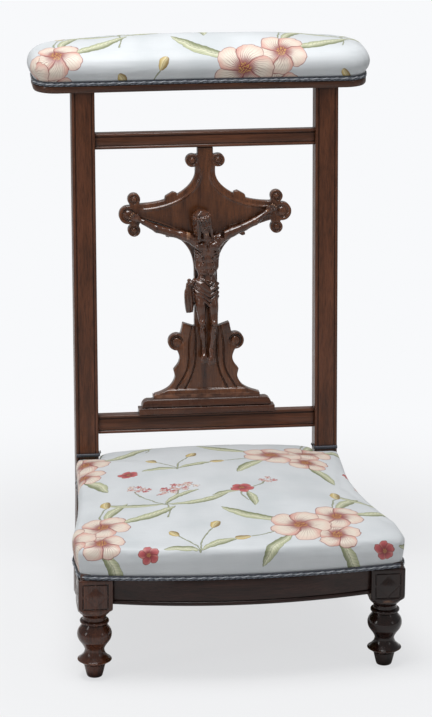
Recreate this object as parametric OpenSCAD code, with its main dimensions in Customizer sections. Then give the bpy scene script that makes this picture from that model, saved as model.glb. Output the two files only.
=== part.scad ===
// Low kneeling chair: an upholstered kneeling pad on two turned front legs, two back posts
// that run from the floor to a padded armrest, and a carved cross between the back rails.
// Millimetres. X runs to the right, the front faces -Y and Z is up.
// The origin is on the floor, under the middle of the whole object.

/* [Frame] */
// Distance between the centre lines of the back posts
post_spacing = 360; // [330:5:390]
// Distance between the centre lines of the front legs
leg_spacing = 410; // [390:5:440]
// Distance from the front leg centres to the front of the posts at the upholstery line
leg_to_post = 391; // [360:2:430]
// Height of the upholstery line, where the bare wood of the seat frame ends
rail_top = 151; // [140:1:165]
// Lean of the back posts, in degrees
back_rake = 4.2; // [2:0.2:6]
// Splay of the back legs below the seat frame, in degrees
leg_splay = 9; // [4:1:12]
// Height of the underside of the armrest board
board_z = 735.5; // [700:0.5:770]
// Clearance in the joints and round the soft parts
fit = 0.3; // [0.2:0.05:0.5]

/* [Front legs] */
// Width of the square block at the top of a front leg
block_w = 48; // [44:1:54]
// Height of that block
block_h = 50; // [44:1:56]
// Largest radius of the turned bulb
bulb_r = 24.3; // [20:0.1:25]
// Width of the raised diamond on the block
diamond_w = 28; // [20:1:34]
// Height of the diamond's point above the block's face
diamond_rise = 2.6; // [1:0.1:4]

/* [Seat frame] */
// Height of the bare wood of the seat rails
rail_h = 38; // [32:1:46]
// How far the middle of the front rail bows forward of its ends
rail_bow = 23; // [14:1:28]
// How far the ends of the front rail stand back from the block's face
rail_setback = 5; // [2:0.5:8]
// Height of the bead along the front rail's bottom edge
bead_h = 6.5; // [4:0.5:8]
// Thickness of the side rails
side_rail_t = 22; // [18:1:26]
// Thickness of the rear rail
rear_rail_t = 20; // [16:1:24]
// Height of the rebate that the cover is tacked to
tack_h = 8.5; // [6:0.5:10]
// Depth of that rebate
tack_in = 3; // [2:0.5:4]
// Thickness of the rails' tenons
tenon_t = 10; // [8:1:12]
// Length of the rails' tenons
tenon_l = 15; // [10:1:16]
// Length of the legs of a corner block
corner_leg = 40; // [30:1:48]
// Radius of a corner block's screw
screw_r = 2.2; // [1.8:0.1:3]

/* [Back] */
// Width of a back post
post_w = 34; // [30:1:38]
// Depth of a back post
post_d = 30; // [26:1:34]
// Radius of the bead along the posts' and rails' edges
bead_r = 2.4; // [1.5:0.1:3]
// Height of the lower back rail's bottom edge
lower_rail_z = 221.2; // [212:0.2:240]
// Height of the lower back rail, along the rake
lower_rail_h = 28; // [24:0.2:34]
// Height of the upper back rail's bottom edge
upper_rail_z = 649.8; // [620:0.2:670]
// Height of the upper back rail, along the rake
upper_rail_h = 23.6; // [20:0.2:30]
// Thickness of the back rails
back_rail_t = 18; // [14:1:22]
// How far the back rails stand back from the posts' front
back_rail_in = 5; // [2:0.5:8]

/* [Cross] */
// Half width over the trefoil ends of the cross
cross_half = 128.3; // [110:0.1:135]
// Thickness of the cross panel
panel_t = 13; // [10:1:16]
// Half width of the moulded plinth at its foot
plinth_half = 102; // [85:1:115]
// Height of the moulded plinth
plinth_h = 29; // [24:1:34]
// How far the plinth's foot stands forward of the panel
plinth_out = 9; // [5:1:12]
// Radius of the dowels between the plinth and the lower rail
dowel_r = 4; // [3:0.5:5]
// Length of those dowels
dowel_l = 26; // [20:1:36]

/* [Figure] */
// Height of the figure from the toes to the crown of the head
figure_h = 236; // [210:1:240]
// Height of the toes above the lower back rail, as a share of the panel
toe_share = 0.172;
// Radius of a nail's shank
nail_r = 1.1; // [0.8:0.1:1.5]
// Radius of a nail's head
nail_head_r = 2.4; // [2:0.1:3]

/* [Armrest] */
// Length of the armrest board
arm_l = 493; // [460:1:540]
// Depth of the armrest board
arm_d = 125; // [110:1:140]
// Height of the board's bare edge
board_edge = 10; // [8:0.5:14]
// How far the armrest lies to the left of the posts' middle
arm_shift = 5; // [0:1:10]
// How far the board stands forward of the posts
arm_overhang = 6; // [2:0.5:12]
// Radius of the board's front corners
arm_front_r = 33; // [25:1:54]
// Radius of the board's rear corners
arm_rear_r = 55; // [40:1:60]
// How far the middle of the front edge stands back
arm_wave = 3; // [0:0.5:6]
// Height of the armrest padding at its edge, above the board
arm_pad_h = 41; // [30:1:50]
// Extra height of the armrest padding in the middle
arm_crown = 13; // [6:1:22]
// How far the armrest padding bulges past the board
arm_bulge = 7; // [2:0.5:9]
// Radius of the armrest padding's top edge
arm_roll = 26; // [16:1:30]

/* [Kneeling pad] */
// How far the middle of the pad's front bows forward of the front blocks
pad_bow = 18; // [10:1:24]
// Radius of the pad's front corners
pad_corner_r = 18; // [12:1:22]
// Height of the pad at its front edge, above the tacking rebate
pad_h = 41; // [32:1:50]
// Extra height of the pad in the middle
pad_crown = 15; // [6:1:22]
// How much shallower the left side of the seat is hollowed than the right, on each side
pad_skew = 6; // [0:1:8]
// How far the pad bulges past the rails
pad_bulge = 3; // [2:0.5:6]
// Radius of the pad's top edge
pad_roll = 13; // [10:1:18]
// Share of its front height that the pad keeps at the back
pad_back_share = 0.72;
// Share of that fall which is left midway between the posts
pad_middle_share = 0.3;
// Thickness of the cover with its wadding
cover_t = 2; // [1.5:0.5:2.5]
// Thickness of the gimp
gimp_t = 2.6; // [2:0.1:3]
// Width of a webbing strap
web_w = 50; // [40:1:58]
// Thickness of a webbing strap
web_t = 1.6; // [1:0.1:2]
// Thickness of the hessian
hessian_t = 0.8; // [0.6:0.1:1]
// Radius of the head of a gimp pin
pin_r = 2; // [1.5:0.1:2.5]

/* [Hidden] */

$fn = 48;
over = 1;
wood = "#4a2a1c";
dark_wood = "#38201a";
pale_wood = "#a88258";
cloth = "#cfdbe0";
braid = "#8fa3b2";
hair = "#6b5a48";
jute = "#b49a6c";
iron = "#2b2724";

post_half = post_spacing / 2;
leg_half = leg_spacing / 2;
block_half = block_w / 2;
post_in = post_half - post_w / 2;
post_out = post_half + post_w / 2;
leg_out = leg_half + block_half;
leg_in = leg_half - block_half;
rail_bottom = rail_top - rail_h;
frame_top = rail_top + tack_h;
rear_rail_y = leg_to_post + tack_in;
pad_back_y = rear_rail_y + rear_rail_t + tack_in / 3;
flare_start = 0.74 * leg_to_post;
flare_end = 0.115 * leg_to_post;
flare_power = 1.8;
upright_l = (board_z - rail_top) / cos(back_rake);
lower_rail_w = (lower_rail_z - rail_top) / cos(back_rake);
upper_rail_w = (upper_rail_z - rail_top) / cos(back_rake);
splat_w = lower_rail_w + lower_rail_h;
splat_h = upper_rail_w - splat_w;
panel_y = back_rail_in + (back_rail_t - panel_t) / 2;
arm_front_y = leg_to_post + (board_z - rail_top) * tan(back_rake) - arm_overhang;
arm_back_y = arm_front_y + arm_d;
board_t = board_edge + tack_h;
arm_half = arm_l / 2;
front_y = -block_half - pad_bow - pad_bulge;
back_y = arm_back_y + arm_bulge;
middle_y = (front_y + back_y) / 2;
// Radius of the arc that the front rail's face follows
bow_r = (leg_in * leg_in + rail_bow * rail_bow) / (2 * rail_bow);
bow_centre_y = -block_half + rail_setback - rail_bow + bow_r;
rail_back_y = block_half / 6;
tenon_h = 0.7 * rail_h;
tenon_z = rail_bottom + 0.15 * rail_h;

// The drawing moves back so that the origin lies under the middle of the object
module placed() translate([arm_shift, -middle_y, 0]) children();

// The leaning frame of the back: X across, Y back from the posts' face, Z up along the posts
module raked() translate([0, leg_to_post, rail_top]) rotate([-back_rake, 0, 0]) children();

module mirrored(side) mirror([side < 0 ? 1 : 0, 0, 0]) children();

function spline_point(a, b, c, d, t) =
    (2 * b + (c - a) * t + (2 * a - 5 * b + 4 * c - d) * t * t + (3 * b - a - 3 * c + d) * t * t * t) / 2;

// A smooth curve through points, with steps pieces between neighbours
function spline(p, steps) = concat(
    [for (i = [0 : len(p) - 2]) for (k = [0 : steps - 1])
        spline_point(p[max(i - 1, 0)], p[i], p[i + 1], p[min(i + 2, len(p) - 1)], k / steps)],
    [p[len(p) - 1]]);

function bezier(a, b, c, d, steps) = [for (k = [0 : steps])
    let (t = k / steps, s = 1 - t) s * s * s * a + 3 * s * s * t * b + 3 * s * t * t * c + t * t * t * d];

function arc(centre, r, from, to, steps) = [for (k = [0 : steps])
    let (a = from + (to - from) * k / steps) centre + r * [cos(a), sin(a)]];

function reversed(p) = [for (i = [len(p) - 1 : -1 : 0]) p[i]];

function mirrored_points(p) = [for (q = reversed(p)) [-q.x, q.y]];

// Section of a moulded bar: a bead and a quirk on each front edge, and a sunk field between
function bead_half(w, r) = concat(
    arc([w / 2 - r, r], r, 0, -135, 6),
    [[w / 2 - 2 * r, 0.8 * r], [w / 2 - 2.5 * r, 0.8 * r], [w / 2 - 2.5 * r, 0.3 * r]]);

function bar_section(w, d, r) = concat(
    [[w / 2, d]], bead_half(w, r), mirrored_points(bead_half(w, r)), [[-w / 2, d]]);

// Plan of the seat frame. The third value of a point says whether padding may bulge there.
function side_x(y, side) = let (u = (flare_start - y) / (flare_start - flare_end))
    post_out + (leg_out - post_out) * pow(min(max(u, 0), 1), flare_power)
        - side * pad_skew * sin(180 * min(max(y / leg_to_post, 0), 1));

function bow_y(x) = -block_half - pad_bow * (1 - x * x / (leg_half * leg_half));

corner_x = leg_out - pad_corner_r;
side_steps = 8;
bow_steps = 5;

function half_plan(side) = concat(
    [for (i = [0 : bow_steps - 1]) let (x = corner_x * i / bow_steps) [x, bow_y(x), 1]],
    [for (p = bezier([corner_x, bow_y(corner_x)], [leg_out - pad_corner_r / 3, bow_y(corner_x)],
        [leg_out, bow_y(corner_x) + pad_corner_r / 3], [leg_out, bow_y(corner_x) + pad_corner_r], 4))
        [p.x, p.y, 1]],
    [for (i = [1 : side_steps]) let (y = (leg_to_post - post_w / 4) * i / side_steps) if (y > 0)
        [side_x(y, side), y, 1]],
    [[post_out, leg_to_post - fit, 0.3],
     [post_half, leg_to_post - fit, 0],
     [post_in - fit, leg_to_post - fit, 0],
     [post_in - fit, pad_back_y - rear_rail_t / 3, 0],
     [post_in - rear_rail_t / 6, pad_back_y - rear_rail_t / 8, 0],
     [post_in - rear_rail_t / 2, pad_back_y, 0.3],
     [post_in / 2, pad_back_y, 1]]);

// The right half of a plan and the left one, which is given as if it lay on the right
function whole_plan(right, left, back) = concat(right, [[0, back, 1]],
    [for (i = [len(left) - 1 : -1 : 1]) [-left[i].x, left[i].y, left[i][2]]]);

seat_plan = whole_plan(half_plan(1), half_plan(-1), pad_back_y);

// Plan of the armrest board
half_arm_plan = concat(
    [for (i = [0 : 4]) let (x = (arm_half - arm_front_r) * i / 5)
        [x, arm_front_y + arm_wave * pow(cos(90 * i / 5), 2), 1]],
    [for (p = arc([arm_half - arm_front_r, arm_front_y + arm_front_r], arm_front_r, -90, 0, 7))
        [p.x, p.y, 1]],
    [for (p = arc([arm_half - arm_rear_r, arm_back_y - arm_rear_r], arm_rear_r, 0, 90, 7))
        [p.x, p.y, 1]],
    [for (i = [3 : -1 : 1]) [(arm_half - arm_rear_r) * i / 4, arm_back_y, 1]]);

arm_plan = [for (q = whole_plan(half_arm_plan, half_arm_plan, arm_back_y)) [q.x - arm_shift, q.y, q[2]]];

// A plan moved outward by grow, or inward where grow is negative
function grown(p, grow) = let (n = len(p)) [for (i = [0 : n - 1])
    let (a = p[(i + n - 1) % n], b = p[(i + 1) % n], run = [b.x - a.x, b.y - a.y], t = run / norm(run),
        g = grow > 0 ? grow * p[i][2] : grow)
    [p[i].x + g * t.y, p[i].y - g * t.x]];

// A plan drawn toward a centre
function drawn_in(p, centre, share) = [for (q = p) centre + (q - centre) * share];

// A plan drawn in by about the same distance all round, where half is half its size each way
function inset(p, centre, half, d) = [for (q = p)
    [centre.x + (q.x - centre.x) * (1 - d / half.x), centre.y + (q.y - centre.y) * (1 - d / half.y)]];

// Rings of a pad: [outward growth, height, inset] up the drawn-in side and round the top edge
function side_rings(h, bulge, roll, skin) = concat(
    [[-tack_in / 3 - skin, tack_h + fit, 0]],
    [for (i = [1 : 3]) [(bulge + tack_in / 3) * sin(30 * i) - tack_in / 3 - skin,
        tack_h + (h - roll - skin / 2) * i / 3, 0]],
    [for (a = [30 : 30 : 90])
        [bulge - skin, tack_h + h - roll + (roll - skin) * sin(a), roll * (1 - cos(a))]]);

crown_shares = [0.86, 0.62, 0.34];

// Share of the padding's height at a place. It falls toward the back, less so between the posts.
function height_share(x, y, front, back, back_share) = 1 - (1 - back_share) * (y - front) / (back - front)
    * (pad_middle_share + (1 - pad_middle_share) * pow(min(abs(x) / post_in, 1), 2));

// Points of a padded form over a plan: a list of rings of equal length, from the bottom up
function pad_rings(p, z, h, bulge, roll, crown, skin, centre, half, back_share, bottom) = let (
    sides = concat([[-tack_in / 3 - skin, bottom, 0]],
        [for (ring = side_rings(h, bulge, roll, skin)) if (ring[1] > bottom + fit) ring]),
    top = inset(grown(p, bulge - skin), centre, half, roll),
    rim = tack_h + h - skin,
    front = p[0].y,
    back = p[len(p) / 2].y)
    concat(
        [for (k = [0 : len(sides) - 1]) let (ring = inset(grown(p, sides[k][0]), centre, half, sides[k][2]))
            [for (q = ring)
                let (s = k > 1 ? height_share(q.x, q.y, front, back, back_share) : 1, up = sides[k][1])
                [q.x, q.y, z + (up > tack_h ? tack_h + (up - tack_h) * s : up)]]],
        [for (c = crown_shares) [for (q = drawn_in(top, centre, c))
            let (s = height_share(q.x, q.y, front, back, back_share))
            [q.x, q.y, z + tack_h + (rim - tack_h) * s + crown * (1 - c * c)]]]);

// A closed solid from rings, its bottom flat and its top closed at one point
module ring_solid(rings, centre, top_z) {
    n = len(rings[0]);
    count = len(rings);
    flat = [for (ring = rings) for (q = ring) q];
    bottom = [centre.x, centre.y, rings[0][0].z];
    polyhedron(
        points = concat(flat, [bottom, [centre.x, centre.y, top_z]]),
        faces = concat(
            [for (k = [0 : count - 2]) for (i = [0 : n - 1]) let (j = (i + 1) % n)
                [k * n + i, (k + 1) * n + i, (k + 1) * n + j]],
            [for (k = [0 : count - 2]) for (i = [0 : n - 1]) let (j = (i + 1) % n)
                [k * n + i, (k + 1) * n + j, k * n + j]],
            [for (i = [0 : n - 1]) [n * count, i, (i + 1) % n]],
            [for (i = [0 : n - 1]) [n * count + 1, (count - 1) * n + (i + 1) % n, (count - 1) * n + i]]),
        convexity = 4);
}

seat_centre = [0, 0.48 * pad_back_y];
arm_centre = [-arm_shift, (arm_front_y + arm_back_y) / 2];

function seat_top(skin) = rail_top + tack_h + (pad_h - skin)
    * height_share(0, seat_centre.y, bow_y(0), pad_back_y, pad_back_share) + pad_crown;

module seat_form(skin, bottom) ring_solid(
    pad_rings(seat_plan, rail_top, pad_h, pad_bulge, pad_roll, pad_crown, skin, seat_centre,
        [leg_out, (pad_back_y - bow_y(0)) / 2], pad_back_share, bottom),
    seat_centre, seat_top(skin));

module arm_form(skin, bottom) ring_solid(
    pad_rings(arm_plan, board_z + board_edge, arm_pad_h, arm_bulge, arm_roll, arm_crown, skin, arm_centre,
        [arm_half, arm_d / 2], 1, bottom),
    arm_centre, board_z + board_t + arm_pad_h - skin + arm_crown);

// Front legs

// Radius and height shares of the turned leg, from the foot up
foot_shares = [[0.43, 0], [0.47, 0.015], [0.61, 0.173]];
disc_shares = [[0.63, 0.19], [0.74, 0.215], [0.95, 0.25], [0.97, 0.258]];
waist_shares = [[0.93, 0.268], [0.78, 0.3], [0.64, 0.34], [0.565, 0.396], [0.61, 0.44], [0.73, 0.49],
    [0.93, 0.56], [1, 0.629], [0.95, 0.69], [0.8, 0.745], [0.7, 0.785]];
ring_shares = [[0.73, 0.793], [0.82, 0.806], [0.845, 0.822], [0.82, 0.838], [0.73, 0.85]];
neck_shares = [[0.69, 0.86], [0.68, 0.91], [0.76, 0.93], [0.9, 0.955], [0.97, 0.98], [0.985, 1]];

module turned_leg(h) {
    profile = concat(foot_shares, spline(disc_shares, 3), spline(waist_shares, 3), spline(ring_shares, 3),
        spline(neck_shares, 3), [[0, 1]], [[0, 0]]);
    rotate_extrude() polygon([for (s = profile) [s.x * bulb_r, s.y * h]]);
}

// A square pyramid whose base lies on Y = 0 and whose point faces -Y
module diamond(w, rise) {
    roof = [[-w / 2, over], [-w / 2, 0], [0, -rise], [w / 2, 0], [w / 2, over]];
    intersection() {
        translate([0, 0, -w / 2]) linear_extrude(w) polygon(roof);
        rotate([0, 90, 0]) translate([0, 0, -w / 2]) linear_extrude(w) polygon(roof);
    }
}

// A square block whose lower corners are turned away to the round of the neck
module leg_block() intersection() {
    shoulder_h = 0.2 * block_h;
    translate([-block_half, -block_half, 0]) cube([block_w, block_w, block_h]);
    union() {
        cylinder(h = shoulder_h, r1 = block_half, r2 = 1.45 * block_half);
        translate([-block_half, -block_half, shoulder_h]) cube([block_w, block_w, block_h]);
    }
}

module front_leg(side) placed() mirrored(side) {
    h = rail_top - block_h;
    color(wood) difference() {
        union() {
            translate([leg_half, 0, 0]) turned_leg(h);
            translate([leg_half, 0, h]) leg_block();
            intersection() {
                translate([leg_in, -block_half, h]) cube([block_w, block_w, block_h + tack_h]);
                mirrored(side) translate([0, 0, h]) linear_extrude(block_h + tack_h)
                    polygon(grown(seat_plan, -tack_in));
            }
            translate([leg_half, -block_half, h + block_h / 2]) diamond(diamond_w, diamond_rise);
        }
        for (s = [-1, 1]) {
            translate([leg_half + s * 0.36 * block_w, -block_half, h + block_h / 2]) groove(0.7 * block_h);
            translate([leg_half, -block_half, h + block_h / 2 + s * 0.35 * block_h]) rotate([0, 90, 0])
                groove(0.72 * block_w);
        }
        front_tenon(fit);
        side_tenon(fit);
        translate([0, 0, corner_z + corner_h / 2]) front_screw(screw_r);
    }
}

// A fine upright groove in a face at Y = 0
module groove(l) {
    g = 0.03 * block_w;
    translate([-g / 2, -g, -l / 2]) cube([g, 2 * g, l]);
}

module front_leg_left() front_leg(-1);
module front_leg_right() front_leg(1);

// Tenons, with room round them where they are cut out of another piece
module front_tenon(room) translate([leg_in - over, -0.55 * block_half - room, tenon_z - room])
    cube([tenon_l + over + room, tenon_t * 0.8 + 2 * room, tenon_h + 2 * room]);

module side_tenon(room) translate([leg_out - side_rail_t / 2 - tenon_t / 2 - room,
    block_half - tenon_l - room, tenon_z - room])
    cube([tenon_t + 2 * room, tenon_l + over + room, tenon_h + 2 * room]);

module side_back_tenon(room) translate([post_out - side_rail_t / 2 - tenon_t * 0.3 - room,
    leg_to_post - over, tenon_z - room])
    cube([tenon_t * 0.8 + 2 * room, tenon_l + over + room, tenon_h + 2 * room]);

module rear_tenon(room) translate([post_in - over,
    rear_rail_y + (rear_rail_t - tenon_t) / 2 - room, tenon_z - room])
    cube([0.85 * tenon_l + over + room, tenon_t + 2 * room, tenon_h + 2 * room]);

// Seat frame

module rail_profile() {
    r = bead_h / 2;
    quirk = bead_h / 5;
    polygon(concat(
        [[bow_r - 4 * block_half, rail_bottom], [bow_r - r, rail_bottom]],
        arc([bow_r - r + quirk, rail_bottom + r], r, -90, 90, 8),
        [[bow_r - quirk, rail_bottom + bead_h], [bow_r - quirk, rail_bottom + bead_h + quirk],
         [bow_r, rail_bottom + bead_h + quirk], [bow_r, rail_top], [bow_r - 4 * block_half, rail_top]]));
}

module front_rail() placed() {
    span = asin(leg_half / bow_r);
    lip = [for (i = [-bow_steps : bow_steps])
        let (x = (leg_in - fit) * i / bow_steps) [x, bow_y(x) + tack_in]];
    color(wood) {
        intersection() {
            translate([0, bow_centre_y, 0]) rotate([0, 0, -90 - span])
                rotate_extrude(angle = 2 * span, $fn = 360) rail_profile();
            translate([-leg_in, -leg_half, 0]) cube([2 * leg_in, leg_half + rail_back_y, rail_top]);
        }
        translate([0, 0, rail_top]) linear_extrude(tack_h)
            polygon(concat(lip, [[leg_in - fit, rail_back_y], [fit - leg_in, rail_back_y]]));
        for (s = [-1, 1]) mirrored(s) front_tenon(0);
    }
}

module side_rail(side) placed() mirrored(side) {
    first = block_half;
    last = leg_to_post - fit;
    steps = 20;
    ys = [for (i = [0 : steps]) first + (last - first) * i / steps];
    color(wood) difference() {
        union() {
            translate([0, 0, rail_bottom]) linear_extrude(rail_h) polygon(concat(
                [for (y = ys) [side_x(y, side) - tack_in / 3, y]],
                [for (y = reversed(ys)) [side_x(y, side) - side_rail_t, y]]));
            translate([0, 0, rail_top]) linear_extrude(tack_h) polygon(concat(
                [for (y = ys) [side_x(y, side) - tack_in, y]],
                [for (y = reversed(ys)) [side_x(y, side) - side_rail_t, y]]));
            side_tenon(0);
            side_back_tenon(0);
        }
        translate([0, 0, corner_z + corner_h / 2]) rear_screw(screw_r);
    }
}

module side_rail_left() side_rail(-1);
module side_rail_right() side_rail(1);

module rear_rail() placed() color(wood) {
    translate([-post_in + fit, rear_rail_y, rail_bottom]) cube([2 * (post_in - fit), rear_rail_t, rail_h]);
    translate([-post_in + fit, rear_rail_y, rail_top])
        cube([2 * (post_in - fit), rear_rail_t - tack_in * 2 / 3, tack_h]);
    for (s = [-1, 1]) mirrored(s) rear_tenon(0);
}

corner_h = 0.8 * rail_h;
corner_z = rail_bottom + 0.1 * rail_h;

function inner_side_x(y, side) = side_x(y, side) - side_rail_t - fit;

module front_corner_block(side) difference() {
    steps = 4;
    translate([0, 0, corner_z]) linear_extrude(corner_h) polygon(concat(
        [[leg_in - corner_leg, rail_back_y + fit], [leg_in - fit, rail_back_y + fit],
         [leg_in - fit, block_half + fit]],
        [for (i = [0 : steps])
            let (y = block_half + fit + corner_leg * i / steps) [inner_side_x(y, side), y]]));
    translate([0, 0, corner_z + corner_h / 2]) front_screw(screw_r + fit / 2);
}

module rear_corner_block(side) difference() {
    steps = 4;
    translate([0, 0, corner_z]) linear_extrude(corner_h) polygon(concat(
        [for (i = [0 : steps])
            let (y = leg_to_post - fit - corner_leg * i / steps) [inner_side_x(y, side), y]],
        [[post_in - corner_leg, rear_rail_y - fit], [post_in - fit, rear_rail_y - fit],
         [post_in - fit, leg_to_post - fit]]));
    translate([0, 0, corner_z + corner_h / 2]) rear_screw(screw_r + fit / 2);
}

screw_l = 0.9 * corner_leg;

// A countersunk screw along +X from its head's face at the origin
module screw(r) rotate([0, 90, 0]) {
    cylinder(h = screw_l, r = r);
    cylinder(h = 1.4 * r, r1 = 2.2 * r, r2 = r);
}

module front_screw(r) translate([leg_in - 0.28 * corner_leg, block_half + 0.28 * corner_leg, 0])
    rotate([0, 0, -45]) screw(r);

module rear_screw(r) translate([post_in - 0.37 * corner_leg, leg_to_post - corner_leg / 2, 0]) screw(r);

module corner_blocks() placed() color(pale_wood) for (s = [-1, 1]) mirrored(s) {
    front_corner_block(s);
    rear_corner_block(s);
}

module corner_block_screws() placed() color(iron) for (s = [-1, 1]) mirrored(s)
    translate([0, 0, corner_z + corner_h / 2]) {
        front_screw(screw_r - fit / 2);
        rear_screw(screw_r - fit / 2);
    }

// Back posts and rails

module back_tenon(w, h, room) translate([post_in - over, back_rail_in + (back_rail_t - tenon_t) / 2 - room,
    w + 0.15 * h - room]) cube([tenon_l + over + room, tenon_t + 2 * room, 0.7 * h + 2 * room]);

module post_tenon(room) translate([post_half - post_w / 4 - room, post_d / 4 - room, upright_l - tenon_l])
    cube([post_w / 2 + 2 * room, post_d / 2 + 2 * room, 2 * tenon_l]);

module rear_post(side) placed() mirrored(side) color(wood) difference() {
    union() {
        intersection() {
            raked() translate([post_half, 0, 0]) linear_extrude(upright_l + post_d)
                polygon(bar_section(post_w, post_d, bead_r));
            cube([leg_spacing, 2 * leg_to_post, board_z]);
        }
        intersection() {
            raked() post_tenon(0);
            cube([leg_spacing, 2 * leg_to_post, board_z + 0.6 * board_t]);
        }
        translate([post_in, leg_to_post, rail_bottom]) cube([post_w, post_d, rail_h]);
        intersection() {
            translate([post_in, leg_to_post, rail_bottom]) rotate([leg_splay, 0, 0])
                translate([0, 0, -2 * rail_bottom]) cube([post_w, post_d, 2 * rail_bottom]);
            cube([leg_spacing, 2 * leg_to_post, rail_top]);
        }
    }
    raked() back_tenon(lower_rail_w, lower_rail_h, fit);
    raked() back_tenon(upper_rail_w, upper_rail_h, fit);
    side_back_tenon(fit);
    rear_tenon(fit);
}

module rear_post_left() rear_post(-1);
module rear_post_right() rear_post(1);

// A back rail with its bottom edge at w along the rake
module back_rail(w, h) {
    translate([-post_in + fit, back_rail_in, w + h / 2]) rotate([0, 90, 0])
        linear_extrude(2 * (post_in - fit))
            polygon([for (p = bar_section(h, back_rail_t, bead_r)) [p.x, p.y]]);
    for (s = [-1, 1]) mirrored(s) back_tenon(w, h, 0);
}

module lower_back_rail() placed() raked() color(wood) difference() {
    back_rail(lower_rail_w, lower_rail_h);
    splat_dowel_pair(dowel_r + fit / 2);
}

module upper_back_rail() placed() raked() color(wood) difference() {
    back_rail(upper_rail_w, upper_rail_h);
    stem_tenon(fit);
}

// Cross

stem_half = 0.09 * cross_half;
shaft_half = 0.134 * cross_half;

function cross_point(s) = [s.x * cross_half, s.y * splat_h];

function cross_points(list) = [for (s = list) cross_point(s)];

// Centre shares and radius share of each round lobe and of the knobs on an arm's edges, the scroll last
lobe_shares = [[0.151, 0.95, 0.076], [0.1, 0.95, 0.072], [0.826, 0.81, 0.073], [0.892, 0.753, 0.108],
    [0.826, 0.695, 0.073], [0.385, 0.822, 0.034], [0.408, 0.675, 0.03], [0.343, 0.27, 0.101]];
scroll_share = lobe_shares[7];
ear_shares = [[0.153, 0.329], [0.27, 0.342], [0.29, 0.315], [0.343, 0.3]];
waist_side_shares = [[0.343, 0.24], [0.318, 0.222], [0.309, 0.205], [0.33, 0.185], [0.382, 0.163]];
foot_side_shares = [[0.372, 0.15], [0.366, 0.134], [0.395, 0.112], [0.445, 0.095], [0.52, 0.082],
    [0.608, 0.073]];

end_shares = [[0.785, 0.808], [0.86, 0.8], [0.885, 0.78], [0.885, 0.726], [0.86, 0.706], [0.785, 0.698]];

half_cross = concat(
    [[stem_half, splat_h - fit], [stem_half, 0.965 * splat_h], [0.115 * cross_half, 0.925 * splat_h]],
    bezier([0.115 * cross_half, 0.908 * splat_h], [0.117 * cross_half, 0.85 * splat_h],
        [0.39 * cross_half, 0.793 * splat_h], [0.76 * cross_half, 0.793 * splat_h], 10),
    cross_points(end_shares),
    bezier([0.76 * cross_half, 0.722 * splat_h], [0.35 * cross_half, 0.682 * splat_h],
        [0.137 * cross_half, 0.647 * splat_h], [shaft_half, 0.534 * splat_h], 10),
    [[shaft_half, 0.329 * splat_h]],
    cross_points(ear_shares), spline(cross_points(waist_side_shares), 3),
    spline(cross_points(foot_side_shares), 3),
    [[0.608 * cross_half, 0.04 * splat_h]]);

module cross_outline() {
    polygon(concat(reversed(half_cross), mirrored_points(reversed(half_cross))));
    for (s = [-1, 1]) for (l = lobe_shares)
        translate([s * l[0] * cross_half, l[1] * splat_h]) circle(l[2] * cross_half);
}

// Draws on the panel's face: X across, Y up from the lower rail, Z forward
module on_panel() raked() translate([0, panel_y, splat_w]) rotate([90, 0, 0]) children();

module stem_tenon(room) translate([-stem_half - room, panel_y + panel_t / 4 - room, upper_rail_w - over])
    cube([2 * (stem_half + room), panel_t / 2 + 2 * room, over + 0.4 * upper_rail_h + room]);

eye_r = 0.66 * scroll_share[2] * cross_half;
relief = 0.16 * panel_t;

module splat_panel() placed() color(dark_wood) difference() {
    union() {
        on_panel() translate([0, 0, -panel_t]) linear_extrude(panel_t) cross_outline();
        raked() stem_tenon(0);
    }
    on_panel() for (s = [-1, 1])
        translate([s * scroll_share[0] * cross_half, scroll_share[1] * splat_h, -relief]) difference() {
            cylinder(h = 2 * relief, r = eye_r);
            translate([0, 0, -over]) cylinder(h = 2 * relief + over, r = 0.45 * eye_r);
        }
    on_panel() nail_places() translate([0, 0, -panel_t / 2]) cylinder(h = panel_t, r = nail_r + fit / 2);
    on_panel() peg(fit / 2);
}

// Half width and height shares of the plinth's outline, and how far each step stands out
plinth_foot = 0.36 * plinth_h;
plinth_side_shares = [[0.92, 0.36], [0.915, 0.44], [0.895, 0.56], [0.87, 0.66], [0.85, 0.76]];

module splat_plinth() placed() color(wood) difference() {
    on_panel() {
        translate([-plinth_half, 0, -panel_t]) cube([2 * plinth_half, plinth_foot, panel_t + plinth_out]);
        difference() {
            translate([0, 0, -panel_t]) linear_extrude(panel_t + 0.75 * plinth_out) polygon(concat(
                [for (s = plinth_side_shares) [s.x * plinth_half, s.y * plinth_h]],
                [for (s = reversed(plinth_side_shares)) [-s.x * plinth_half, s.y * plinth_h]]));
            translate([0, 0, -panel_t - over]) linear_extrude(panel_t + over + fit) cross_outline();
        }
        difference() {
            translate([-0.78 * plinth_half, 0.76 * plinth_h, -panel_t])
                cube([1.56 * plinth_half, 0.24 * plinth_h, panel_t + 0.5 * plinth_out]);
            translate([0, 0, -panel_t - over]) linear_extrude(panel_t + over + fit) cross_outline();
        }
    }
    raked() splat_dowel_pair(dowel_r + fit / 2);
}

module splat_dowel_pair(r) for (s = [-1, 1])
    translate([s * 0.7 * plinth_half, panel_y + panel_t / 2, splat_w - dowel_l / 2])
        cylinder(h = dowel_l / 2 + 0.8 * plinth_foot, r = r);

module splat_dowels() placed() raked() color(pale_wood) splat_dowel_pair(dowel_r);

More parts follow.
